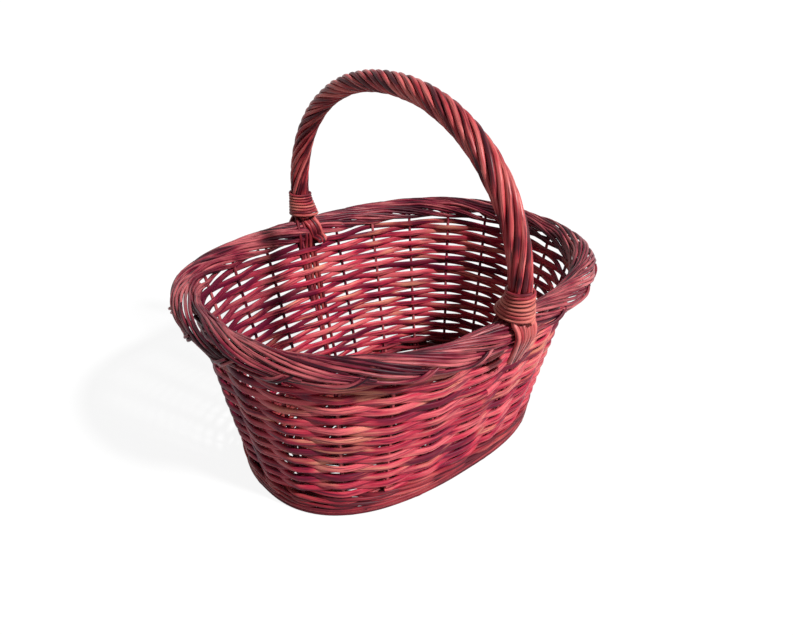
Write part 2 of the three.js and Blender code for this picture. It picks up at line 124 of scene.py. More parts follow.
@dataclass
class BasketForm:
    """The basket's driving sizes and the places on its wall and border."""

    border_length: float = 408 * MM
    border_width: float = 319 * MM
    border_height: float = 189.5 * MM
    border_radius: float = 14.6 * MM
    foot_length: float = 330 * MM
    foot_width: float = 215 * MM
    wall_inset: float = 5 * MM
    stake_count: int = 23
    far_share: float = 0.25
    near_share: float = 0.75
    ring_outward: float = 5.2 * MM
    ring_upward: float = 2.8 * MM
    ring_radius: float = 10.5 * MM
    end_rise: float = 4.0 * MM
    end_power: int = 3
    near_dip: float = 4.5 * MM
    dip_share: float = 0.695
    dip_reach: float = 0.05
    bulge: float = 2.6 * MM
    bulge_share: float = 0.49
    bulge_reach: float = 0.09
    corner_swell: float = 0.2
    corner_share: float = 0.505
    corner_reach: float = 0.055
    corner_outward: float = 0.4
    corner_sink: float = 0.9
    table_steps: int = 2880

    def __post_init__(self) -> None:
        """Measures the border's perimeter, so that shares of it can be placed."""
        self.border_oval = Oval(self.border_length / 2, self.border_width / 2)
        self.sums = [0.0]
        before = self.border_oval.point(0)
        for step in range(1, self.table_steps + 1):
            here = self.border_oval.point(step * FULL_TURN / self.table_steps)
            self.sums.append(self.sums[-1] + (here - before).length)
            before = here
        self.perimeter = self.sums[-1]
        self.start_share = self.far_share + self.far_share / self.stake_count

    def angle_at_share(self, share: float) -> float:
        """Turns a share of the border's perimeter into an angle parameter.

        Args:
            share: The share, which may count on past a whole turn.

        Returns:
            The angle parameter where that share ends.
        """
        target = (share - math.floor(share)) * self.perimeter
        step = max(1, bisect_left(self.sums, target))
        part = (target - self.sums[step - 1]) / (self.sums[step] - self.sums[step - 1])
        return (step - 1 + part) * FULL_TURN / self.table_steps

    def stake_share(self, place: float) -> float:
        """The share of the perimeter at a stake number, which may lie between two stakes."""
        return self.start_share + place / self.stake_count

    def nearness(self, share: float, middle: float, reach: float) -> float:
        """How near a place is to another round the border.

        Args:
            share: The place, as a share of the perimeter.
            middle: The other place.
            reach: The distance at which the nearness has mostly gone.

        Returns:
            A value from 1 at the other place to 0 far from it.
        """
        gap = (share - math.floor(share) - middle) / reach
        return math.exp(-gap * gap)

    def rim_lift(self, share: float) -> float:
        """How much higher the rim lies at a place: it rises to its ends and dips by the near foot.

        Args:
            share: The place, as a share of the perimeter.

        Returns:
            The height over the level rim.
        """
        place = self.border_oval.point(self.angle_at_share(share))
        dip = self.near_dip * self.nearness(share, self.dip_share, self.dip_reach)
        return self.end_rise * abs(place.x / self.border_oval.half_length) ** self.end_power - dip

    def wall_oval(self, height: float) -> Oval:
        """The wall's middle line at a height.

        Args:
            height: The height over the floor.

        Returns:
            The oval, which grows evenly from the foot to the border.
        """
        part = height / self.border_height
        top_length = self.border_length - 2 * self.wall_inset
        top_width = self.border_width - 2 * self.wall_inset
        length = self.foot_length + (top_length - self.foot_length) * part
        width = self.foot_width + (top_width - self.foot_width) * part
        return Oval(length / 2, width / 2)

    def wall_point(self, share: float, height: float, outward: float = 0.0) -> Vector:
        """A place on the wall.

        Args:
            share: How far round, as a share of the border's perimeter.
            height: The height over the floor.
            outward: The distance out from the wall's middle surface.

        Returns:
            The point.
        """
        oval = self.wall_oval(height)
        angle = self.angle_at_share(share)
        belly = self.bulge * self.nearness(share, self.bulge_share, self.bulge_reach)
        belly *= math.sin(math.pi * min(max(height / self.border_height, 0.0), 1.0))
        place = oval.point(angle) + oval.normal(angle) * (outward + belly)
        place.z = height + self.rim_lift(share) * (height / self.border_height) ** 2
        return place

    def border_point(self, share: float, turn: float, radius: float) -> Vector:
        """A place in the rolled border, round the middle of its roll.

        Args:
            share: How far round, as a share of the perimeter.
            turn: The angle round the middle, 0 outward and 90 degrees up.
            radius: The distance from the middle.

        Returns:
            The point.
        """
        angle = self.angle_at_share(share)
        swell = self.corner_swell * self.nearness(share, self.corner_share, self.corner_reach)
        reach = radius * (1 + swell)
        outward = self.ring_outward + self.corner_outward * swell * self.ring_radius
        outward += reach * math.cos(turn)
        place = self.border_oval.point(angle) + self.border_oval.normal(angle) * outward
        height = self.border_height + self.ring_upward + reach * math.sin(turn)
        place.z = height + self.rim_lift(share) - self.corner_sink * swell * self.ring_radius
        return place


# Rods


def smooth_step(value: float) -> float:
    """An S-shaped blend of a value between 0 and 1."""
    clamped = min(max(value, 0.0), 1.0)
    return clamped * clamped * (3 - 2 * clamped)


def mix(first: float, second: float, part: float) -> float:
    """The value a part of the way from the first to the second."""
    return first + (second - first) * part


def hermite(first: Value, second: Value, start: Value, end: Value, part: float) -> Value:
    """Blends two values along a cubic curve.

    Args:
        first: The value at the start.
        second: The value at the end.
        start: The slope at the start.
        end: The slope at the end.
        part: The part of the way, from 0 to 1.

    Returns:
        The value there.
    """
    cube = part ** 3
    square = part ** 2
    return (
        first * (2 * cube - 3 * square + 1)
        + start * (cube - 2 * square + part)
        + second * (3 * square - 2 * cube)
        + end * (cube - square)
    )


def table_value(table: Sequence[tuple[float, ...]], place: float, column: int) -> float:
    """Reads a smooth curve through a table's rows.

    Args:
        table: Rows that start with a rising place.
        place: Where to read.
        column: The column of the value.

    Returns:
        The value on a cubic curve through the rows, held level beyond their ends.
    """
    last = len(table) - 1
    row = min(max(bisect_left([r[0] for r in table], place), 1), last)
    before, after = table[row - 1], table[row]
    gap = after[0] - before[0]
    part = min(max((place - before[0]) / gap, 0.0), 1.0)

    def slope(index: int) -> float:
        """The slope at a row, from the rows on its two sides."""
        low, high = max(index - 1, 0), min(index + 1, last)
        return (table[high][column] - table[low][column]) / (table[high][0] - table[low][0])

    return hermite(before[column], after[column], slope(row - 1) * gap, slope(row) * gap, part)


def smooth_route(stations: Sequence[Vector], step: float) -> list[Vector]:
    """Samples a smooth curve through stations.

    Args:
        stations: The points that the route passes through.
        step: The distance between samples.

    Returns:
        The samples, from the first station to the last.
    """
    first = stations[0] * 2 - stations[1]
    last = stations[-1] * 2 - stations[-2]
    padded = [first, *stations, last]
    samples = []
    for index in range(1, len(padded) - 2):
        before, here, there, after = padded[index - 1:index + 3]
        gap = (there - here).length
        count = max(1, round(gap / step))
        start = (there - before) * 0.5 * (gap / max((here - before).length, gap))
        end = (after - here) * 0.5 * (gap / max((after - there).length, gap))
        samples.extend(hermite(here, there, start, end, i / count) for i in range(count))
    samples.append(stations[-1].copy())
    return samples


@dataclass
class Rod:
    """One willow rod: its route, its half thickness along the route and the looks it drew."""

    points: list[Vector]
    radii: list[float]
    tone: float
    seed: float
    butt_first: bool = True

    def lengths(self) -> list[float]:
        """Sums the rod's length.

        Returns:
            The distance of each point along the rod, from its first point.
        """
        sums = [0.0]
        for before, after in zip(self.points, self.points[1:]):
            sums.append(sums[-1] + (after - before).length)
        return sums


class Section(Enum):
    """A rod's section: its width, its height and how full it is, each against a round one."""

    ROUND = (1.0, 1.0, 1.0)
    TALL = (0.56, 1.03, 1.42)
    FLAT = (1.32, 0.98, 1.0)


@dataclass
class RodMaker:
    """Sweeps rods along their routes and turns them into meshes with buds and uneven bark."""

    # Steps in each quarter of a plain section and of a full one
    arc_steps: int = 3
    full_arc_steps: int = 4
    unevenness: float = 0.06
    # Repeats of the unevenness in a metre, across and along the rod
    lumps_across: float = 260
    lumps_along: float = 42
    bud_spacing: float = 34 * MM
    bud_margin: float = 0.25
    bud_length: float = 2.4 * MM
    bud_rise: float = 0.38 * MM
    bud_narrowness: int = 3
    # Numbers that scatter the buds' places without a random draw
    scatter_seed: float = 7
    scatter_step: float = 12.9898
    scatter_size: float = 43758.5453
    # Points nearer a rod's middle line than this stay where they are
    axis_reach: float = 0.2 * MM
    merge_distance: float = 0.01 * MM
    smooth_angle: float = math.radians(50)
    profiles: dict[Section, bpy.types.Object] = field(default_factory=dict)

    def profile(self, section: Section) -> bpy.types.Object:
        """Makes the closed curve that a section is swept from, or gives the one made before.

        Args:
            section: The section.

        Returns:
            The curve's object, in the size of a rod of radius 1.
        """
        if section not in self.profiles:
            bpy.ops.object.select_all(action="DESELECT")
            bpy.ops.curve.primitive_bezier_circle_add(radius=1)
            circle = bpy.context.object
            width, height, fullness = section.value
            for point in circle.data.splines[0].bezier_points:
                before, after = point.handle_left - point.co, point.handle_right - point.co
                point.handle_left_type = point.handle_right_type = "FREE"
                point.handle_left = point.co + before * fullness
                point.handle_right = point.co + after * fullness
            circle.scale = (width, height, 1)
            bpy.ops.object.transform_apply(location=False, rotation=False, scale=True)
            circle.data.resolution_u = self.full_arc_steps if fullness > 1 else self.arc_steps
            self.profiles[section] = circle
        return self.profiles[section]

    def sweep(self, name: str, rods: Sequence[Rod], section: Section) -> bpy.types.Object:
        """Makes one mesh piece of several rods.

        Args:
            name: The piece's name.
            rods: Its rods.
            section: The section of them all.

        Returns:
            The piece, with its place in its mesh.
        """
        bevel = self.profile(section)
        bpy.ops.object.select_all(action="DESELECT")
        bpy.ops.curve.primitive_nurbs_path_add(location=(0, 0, 0))
        piece = bpy.context.object
        piece.name = name
        curve = piece.data
        curve.splines.clear()
        curve.twist_mode = "MINIMUM" if section is Section.ROUND else "Z_UP"
        curve.bevel_mode = "OBJECT"
        curve.bevel_object = bevel
        curve.use_fill_caps = True
        for rod in rods:
            spline = curve.splines.new("POLY")
            spline.points.add(len(rod.points) - 1)
            flat = [value for point in rod.points for value in (*point, 1.0)]
            spline.points.foreach_set("co", flat)
            spline.points.foreach_set("radius", rod.radii)
        bpy.ops.object.convert(target="MESH")
        piece = bpy.context.object
        piece.data.name = name
        bpy.ops.object.mode_set(mode="EDIT")
        bpy.ops.mesh.select_all(action="SELECT")
        bpy.ops.mesh.remove_doubles(threshold=self.merge_distance)
        bpy.ops.mesh.normals_make_consistent(inside=False)
        bpy.ops.object.mode_set(mode="OBJECT")
        self.grow(piece, rods)
        bpy.ops.object.shade_smooth_by_angle(angle=self.smooth_angle)
        return piece

    def grow(self, piece: bpy.types.Object, rods: Sequence[Rod]) -> None:
        """Makes the swept rods uneven and budded, and stores what their bark follows.

        Args:
            piece: The swept mesh.
            rods: The rods that it was swept from.
        """
        frames = []
        for rod in rods:
            frames.extend(self.rod_frames(rod))
        tree = kdtree.KDTree(len(frames))
        for index, entry in enumerate(frames):
            tree.insert(entry[0], index)
        tree.balance()
        mesh = piece.data
        grain, tones = [], []
        for vertex in mesh.vertices:
            _, index, _ = tree.find(vertex.co)
            centre, normal, across, along, rod = frames[index]
            offset = vertex.co - centre
            x, y = offset.dot(normal), offset.dot(across)
            ahead = offset.dot(normal.cross(across))
            radius = math.hypot(x, y)
            if radius > self.axis_reach:
                lengthwise = along * self.lumps_along + rod.seed
                swell = noise.noise(Vector((x * self.lumps_across, y * self.lumps_across, lengthwise)))
                rise = self.unevenness * radius * swell
                rise += self.bud(x / radius, y / radius, along, rod.seed)
                vertex.co = vertex.co + (normal * x + across * y) * (rise / radius)
            grain.extend((x, y, along + ahead + rod.seed))
            tones.append(rod.tone)
        attribute = mesh.attributes.new("grain", "FLOAT_VECTOR", "POINT")
        attribute.data.foreach_set("vector", grain)
        attribute = mesh.attributes.new("tone", "FLOAT", "POINT")
        attribute.data.foreach_set("value", tones)
        mesh.update()

    def rod_frames(self, rod: Rod) -> list[tuple[Vector, Vector, Vector, float, Rod]]:
        """Carries a frame along a rod without letting it twist.

        Args:
            rod: The rod.

        Returns:
            For each point its centre, two directions across, its distance along and the rod.
        """
        sums = rod.lengths()
        entries = []
        tangent = (rod.points[1] - rod.points[0]).normalized()
        normal = tangent.orthogonal().normalized()
        last = len(rod.points) - 1
        for index, centre in enumerate(rod.points):
            ahead = rod.points[min(index + 1, last)] - rod.points[max(index - 1, 0)]
            tangent = ahead.normalized()
            normal = (normal - tangent * normal.dot(tangent)).normalized()
            along = sums[index] if rod.butt_first else sums[-1] - sums[index]
            entries.append((centre, normal, tangent.cross(normal), along, rod))
        return entries

    def bud(self, x: float, y: float, along: float, seed: float) -> float:
        """The rise of the bark at a bud.

        Args:
            x: The first part of the direction round the rod.
            y: The second part.
            along: The distance along the rod.
            seed: The rod's seed.

        Returns:
            The rise over the rod's surface.
        """
        number = math.floor(along / self.bud_spacing)
        draw = math.sin((number + seed * self.scatter_seed) * self.scatter_step) * self.scatter_size
        draw -= math.floor(draw)
        middle = (number + self.bud_margin + (1 - 2 * self.bud_margin) * draw) * self.bud_spacing
        turn = number * GOLDEN_TURN + seed
        facing = max(0.0, x * math.cos(turn) + y * math.sin(turn))
        gap = (along - middle) / self.bud_length
        return self.bud_rise * math.exp(-gap * gap) * facing ** self.bud_narrowness

    def clear(self) -> None:
        """Removes the section curves, which aren't part of the basket."""
        for circle in self.profiles.values():
            bpy.data.objects.remove(circle)
        self.profiles.clear()


# Finishes


class Socket:
    """Wraps a node's output, so that shader maths is written as expressions."""

    def __init__(self, tree: bpy.types.NodeTree, output: bpy.types.NodeSocket) -> None:
        """Keeps the node tree and the output."""
        self.tree = tree
        self.output = output

    def _math(self, operation: str, first: "Socket | float", second: "Socket | float") -> "Socket":
        """Adds a Math node.

        Args:
            operation: The node's operation.
            first: The first value.
            second: The second value.

        Returns:
            The result.
        """
        node = self.tree.nodes.new("ShaderNodeMath")
        node.operation = operation
        for entry, value in zip(node.inputs, (first, second)):
            if isinstance(value, Socket):
                self.tree.links.new(value.output, entry)
            else:
                entry.default_value = value
        return Socket(self.tree, node.outputs[0])

    def __add__(self, other: "Socket | float") -> "Socket":
        """Adds a value."""
        return self._math("ADD", self, other)

    def __radd__(self, other: float) -> "Socket":
        """Adds this to a value."""
        return self._math("ADD", other, self)

    def __sub__(self, other: "Socket | float") -> "Socket":
        """Takes a value away."""
        return self._math("SUBTRACT", self, other)

    def __rsub__(self, other: float) -> "Socket":
        """Takes this away from a value."""
        return self._math("SUBTRACT", other, self)

    def __mul__(self, other: "Socket | float") -> "Socket":
        """Multiplies by a value."""
        return self._math("MULTIPLY", self, other)

    def __rmul__(self, other: float) -> "Socket":
        """Multiplies a value by this."""
        return self._math("MULTIPLY", other, self)

    def clamped(self) -> "Socket":
        """Keeps this value between 0 and 1.

        Returns:
            The result.
        """
        result = self._math("ADD", self, 0.0)
        result.output.node.use_clamp = True
        return result

    def power(self, exponent: float) -> "Socket":
        """This value to a power."""
        return self._math("POWER", self, exponent)


class NodeBench:
    """Builds a material's nodes."""

    def __init__(self, name: str) -> None:
        """Starts an empty material.

        Args:
            name: The material's name.
        """
        self.material = bpy.data.materials.new(name)
        self.material.use_nodes = True
        self.tree = self.material.node_tree
        self.tree.nodes.clear()

    def add(self, kind: str, settings: dict[str, object] | None = None, out: int | str = 0,
            **values: object) -> Socket:
        """Adds a node.

        Args:
            kind: The node's type.
            settings: Its own settings, set before its sockets.
            out: The output that is wanted.
            values: Values or links of its inputs, with spaces in their names as underscores.

        Returns:
            The wanted output.
        """
        node = self.tree.nodes.new(kind)
        for key, value in (settings or {}).items():
            setattr(node, key, value)
        for key, value in values.items():
            entry = node.inputs[key.replace("_", " ")]
            if isinstance(value, Socket):
                self.tree.links.new(value.output, entry)
            else:
                entry.default_value = value
        return Socket(self.tree, node.outputs[out])

    def stretched(self, vector: Socket, scale: tuple[float, float, float], shift: float = 0.0) -> Socket:
        """A vector scaled and moved for a texture."""
        return self.add("ShaderNodeMapping", Vector=vector, Scale=scale, Location=(shift, shift, shift))

    def noise(self, vector: Socket, detail: float = 2.0, roughness: float = 0.5) -> Socket:
        """Adds a noise pattern.

        Args:
            vector: Where it is read.
            detail: Its detail.
            roughness: Its roughness.

        Returns:
            The pattern's value.
        """
        return self.add(
            "ShaderNodeTexNoise", {"noise_dimensions": "3D"},
            Vector=vector, Scale=1.0, Detail=detail, Roughness=roughness,
        )

    def ramp(self, value: Socket, stops: Sequence[tuple[float, float]]) -> Socket:
        """A grey ramp of a value.

        Args:
            value: The value.
            stops: Places and levels.

        Returns:
            The level.
        """
        node = self.tree.nodes.new("ShaderNodeValToRGB")
        elements = node.color_ramp.elements
        while len(elements) < len(stops):
            elements.new(0.5)
        for element, (place, level) in zip(elements, stops):
            element.position = place
            element.color = (level, level, level, 1)
        self.tree.links.new(value.output, node.inputs[0])
        return Socket(self.tree, node.outputs[0])

    def blend(self, factor: Socket | float, first: object, second: object, mode: str = "MIX") -> Socket:
        """Mixes two colours.

        Args:
            factor: How much of the second.
            first: A colour or link.
            second: A colour or link.
            mode: The blend mode.

        Returns:
            The mixed colour.
        """
        node = self.tree.nodes.new("ShaderNodeMix")
        node.data_type = "RGBA"
        node.blend_type = mode
        for index, value in ((MIX_FACTOR, factor), (MIX_FIRST, first), (MIX_SECOND, second)):
            if isinstance(value, Socket):
                self.tree.links.new(value.output, node.inputs[index])
            elif index == MIX_FACTOR:
                node.inputs[index].default_value = value
            else:
                node.inputs[index].default_value = (*value, 1)
        return Socket(self.tree, node.outputs[MIX_RESULT])

    def finish(self, shader: Socket) -> None:
        """Links a shader to the material's output."""
        node = self.tree.nodes.new("ShaderNodeOutputMaterial")
        self.tree.links.new(shader.output, node.inputs["Surface"])


@dataclass(frozen=True)
class Pattern:
    """A noise pattern on the bark: its repeats in a metre across and along, and its make."""

    across: float
    along: float
    shift: float
    detail: float
    roughness: float = 0.5

    def laid(self, bench: NodeBench, vector: Socket) -> Socket:
        """The pattern's value over a vector."""
        scale = (self.across, self.across, self.along)
        return bench.noise(bench.stretched(vector, scale, self.shift), self.detail, self.roughness)


FINE = 1 / (0.55 * MM)
LONG = 1 / (22 * MM)
PATCH = 1 / (60 * MM)
ZONE = 1 / (42 * MM)


@dataclass(frozen=True)
class BarkMaps:
    """The patterns and places that a bark's looks are mixed from."""

    streaks: Socket
    ribs: Socket
    patches: Socket
    specks: Socket
    zones: Socket
    fade_zones: Socket
    tone: Socket
    where: Socket


@dataclass(frozen=True)
class WillowFinish:
    """Dyed willow bark: its dye, how the dye took, and its shine."""

    name: str
    slot: str
    dye: Colour = (0.25, 0.016, 0.029)
    # Deep red, for deep dye patches and grooves, and for the painted shade at one end of the wall
    deep: Colour = (0.045, 0.005, 0.013)
    # Lighter red of worn patches, also used for streaks that are partly painted highlight
    worn: Colour = (0.52, 0.12, 0.10)
    worn_share: float = 0.35
    faded: Colour = (0.62, 0.33, 0.18)
    faded_share: float = 0.0
    # Painted shade at one end of the wall: how dark, which way it lies in X and Y, where it starts,
    # the length over which it comes, and how much of it doesn't follow the rods' patches
    end_shade_share: float = 0.0
    end_shade_way: tuple[float, float] = (-0.8, 0.6)
    end_shade_start: float = 105 * MM
    end_shade_reach: float = 75 * MM
    end_shade_level: float = 0.5
    roughness: float = 0.40
    specular: float = 0.10
    coat: float = 0.01
    coat_roughness: float = 0.3
    streaks: Pattern = Pattern(FINE, LONG, shift=0.0, detail=3.0, roughness=0.6)
    ribs: Pattern = Pattern(FINE * 0.36, LONG * 0.7, shift=3.1, detail=2.0)
    patches: Pattern = Pattern(FINE * 0.10, PATCH, shift=7.7, detail=2.5)
    specks: Pattern = Pattern(FINE * 0.9, FINE * 0.5, shift=1.3, detail=1.0)
    zones: Pattern = Pattern(ZONE, ZONE * 1.3, shift=2.2, detail=2.0)
    fade_zones: Pattern = Pattern(ZONE * 0.9, ZONE * 1.6, shift=6.4, detail=2.0)
    # How much of the rods' patches and of the wall's zones each mask takes
    worn_parts: tuple[float, float] = (0.55, 0.45)
    faded_parts: tuple[float, float] = (0.45, 0.55)
    dark_parts: tuple[float, float] = (0.5, 0.5)
    tone_part: float = 0.20
    worn_stops: Stops = ((0.49, 0.0), (0.60, 1.0))
    # Bright streaks along the grain: partly rubbed bark, partly painted highlight
    rubbed_and_sheen_stops: Stops = ((0.53, 0.0), (0.68, 0.8))
    faded_stops: Stops = ((0.53, 0.0), (0.63, 1.0))
    dark_stops: Stops = ((0.39, 1.0), (0.495, 0.0))
    rib_stops: Stops = ((0.33, 0.85), (0.48, 0.0))
    crack_stops: Stops = ((0.32, 0.6), (0.46, 0.0))
    speck_stops: Stops = ((0.24, 0.7), (0.34, 0.0))
    dark_part: float = 0.8
    least_level: float = 0.80
    level_range: float = 0.36
    # How much of the relief the streaks, the ribs and the specks take
    relief: tuple[float, float, float] = (0.45, 0.9, 0.15)
    bump_strength: float = 0.75
    bump_height: float = 0.16 * MM
    rib_roughness: float = 0.35
    dark_roughness: float = 0.10

    def maps(self, bench: NodeBench) -> BarkMaps:
        """Lays the patterns along each rod's own grain and over the basket.

        Args:
            bench: The material's nodes.

        Returns:
            The patterns' values.
        """
        grain = bench.add("ShaderNodeAttribute", {"attribute_name": "grain"}, out="Vector")
        where = bench.add("ShaderNodeTexCoord", out="Object")
        return BarkMaps(
            streaks=self.streaks.laid(bench, grain),
            ribs=self.ribs.laid(bench, grain),
            patches=self.patches.laid(bench, grain),
            specks=self.specks.laid(bench, grain),
            zones=self.zones.laid(bench, where),
            fade_zones=self.fade_zones.laid(bench, where),
            tone=bench.add("ShaderNodeAttribute", {"attribute_name": "tone"}, out="Fac"),
            where=where,
        )

    def wear_and_sheen_mask(self, bench: NodeBench, maps: BarkMaps) -> Socket:
        """Where the dye has worn to a lighter red, and where bright streaks along the grain paint part of
        the highlight.

        Args:
            bench: The material's nodes.
            maps: The patterns.

        Returns:
            The share of the worn colour.
        """
        patches, zones = self.worn_parts
        place = maps.patches * patches + maps.zones * zones + (maps.tone - 0.5) * self.tone_part
        worn = bench.ramp(place, self.worn_stops) * self.worn_share
        # Adds the bright streaks, partly rubbed bark and partly painted highlight
        return (worn + bench.ramp(maps.streaks, self.rubbed_and_sheen_stops) * self.worn_share).clamped()

    def dark_mask(self, bench: NodeBench, maps: BarkMaps) -> Socket:
        """Where the dye lies deep, in patches and in the grooves, with painted shade added at one end of the
        wall.

        Args:
            bench: The material's nodes.
            maps: The patterns.

        Returns:
            The share of the deep colour, the painted shade included.
        """
        patches, zones = self.dark_parts
        place = maps.patches * patches + maps.zones * zones + (maps.tone - 0.5) * self.tone_part
        grooves = bench.ramp(maps.ribs, self.rib_stops) + bench.ramp(maps.streaks, self.crack_stops)
        dark = bench.ramp(place, self.dark_stops) * self.dark_part + grooves
        # Painted shade, darker towards the wall's end at -X and +Y
        if self.end_shade_share > 0:
            along = bench.add("ShaderNodeSeparateXYZ", Vector=maps.where, out="X")
            across = bench.add("ShaderNodeSeparateXYZ", Vector=maps.where, out="Y")
            beyond = across * self.end_shade_way[1] + along * self.end_shade_way[0] - self.end_shade_start
            toward = (beyond * (1 / self.end_shade_reach)).clamped()
            dark = dark + (toward * self.end_shade_share * (maps.patches + self.end_shade_level)).clamped()
        return dark.clamped()

    def colour(self, bench: NodeBench, maps: BarkMaps, dark: Socket) -> Socket:
        """Mixes the bark's colour.

        Args:
            bench: The material's nodes.
            maps: The patterns.
            dark: The share of the deep colour.

        Returns:
            The colour.
        """
        colour = bench.blend(self.wear_and_sheen_mask(bench, maps), self.dye, self.worn)
        if self.faded_share > 0:
            patches, zones = self.faded_parts
            faded = bench.ramp(maps.fade_zones * zones + maps.patches * patches, self.faded_stops)
            colour = bench.blend(faded * self.faded_share, colour, self.faded)
        colour = bench.blend(dark, colour, self.deep)
        colour = bench.blend(bench.ramp(maps.specks, self.speck_stops), colour, self.deep)
        level = self.least_level + maps.tone * self.level_range
        shade = bench.add("ShaderNodeCombineColor", Red=level, Green=level, Blue=level)
        return bench.blend(1.0, colour, shade, "MULTIPLY")

    def material(self) -> bpy.types.Material:
        """Builds the finish.

        Returns:
            The material, which follows each rod's own grain.
        """
        bench = NodeBench(self.name)
        maps = self.maps(bench)
        dark = self.dark_mask(bench, maps)
        streaks, ribs, specks = self.relief
        height = maps.streaks * streaks + maps.ribs * ribs + maps.specks * specks
        normal = bench.add(
            "ShaderNodeBump", Strength=self.bump_strength, Distance=self.bump_height, Height=height,
        )
        rough = self.roughness + (maps.ribs - 0.5) * self.rib_roughness + dark * self.dark_roughness
        shader = bench.add(
            "ShaderNodeBsdfPrincipled",
            Base_Color=self.colour(bench, maps, dark), Roughness=rough.clamped(), Normal=normal,
            Specular_IOR_Level=self.specular, Coat_Weight=self.coat, Coat_Roughness=self.coat_roughness,
        )
        bench.finish(shader)
        return bench.material


# Weaving


def round_blend(first: float, second: float, part: float, stiffness: float = 0.0) -> float:
    """Blends as a rod bends round one post and then the next.

    Args:
        first: The value at the first post.
        second: The value at the second post.
        part: The part of the way between them.
        stiffness: How straight the rod runs between them, from 0 to 1.

    Returns:
        The value.
    """
    wave = 0.5 - 0.5 * math.cos(math.pi * part)
    return mix(first, second, mix(wave, part, stiffness))


@dataclass
class Weaver:
    """What every sub-assembly shares: the form, the rod maker, the materials and its random draws."""

    form: BasketForm
    maker: RodMaker
    materials: dict[str, bpy.types.Material]
    draws: random.Random

    def rod(self, points: list[Vector], radius_at: Callable[[float], float],
            butt_first: bool = True) -> Rod:
        """A rod with its own random tone.

        Args:
            points: Its route.
            radius_at: Its half thickness at each share of its route.
            butt_first: Whether its thick end comes first.

        Returns:
            The rod.
        """
        last = max(len(points) - 1, 1)
        radii = [radius_at(index / last) for index in range(len(points))]
        return Rod(points, radii, self.draws.random(), self.draws.uniform(0, SEED_SPAN), butt_first)

    def add_piece(self, name: str, rods: Sequence[Rod], finish: WillowFinish, node: str,
                  section: Section = Section.ROUND) -> bpy.types.Object:
        """Sweeps and dresses a piece that stands for one node, hangs it on the basket's body and hides that
        node's part.

        Args:
            name: The piece's name.
            rods: Its rods.
            finish: Its finish.
            node: The node that it stands for.
            section: The rods' section.

        Returns:
            The piece.
        """
        piece = self.maker.sweep(name, rods, section)
        if finish.name not in self.materials:
            self.materials[finish.name] = finish.material()
        piece.data.materials.clear()
        piece.data.materials.append(self.materials[finish.name])
        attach(piece, BODY)
        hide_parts(node)
        log.info("%s: %d rods, %d faces", name, len(rods), len(piece.data.polygons))
        return piece


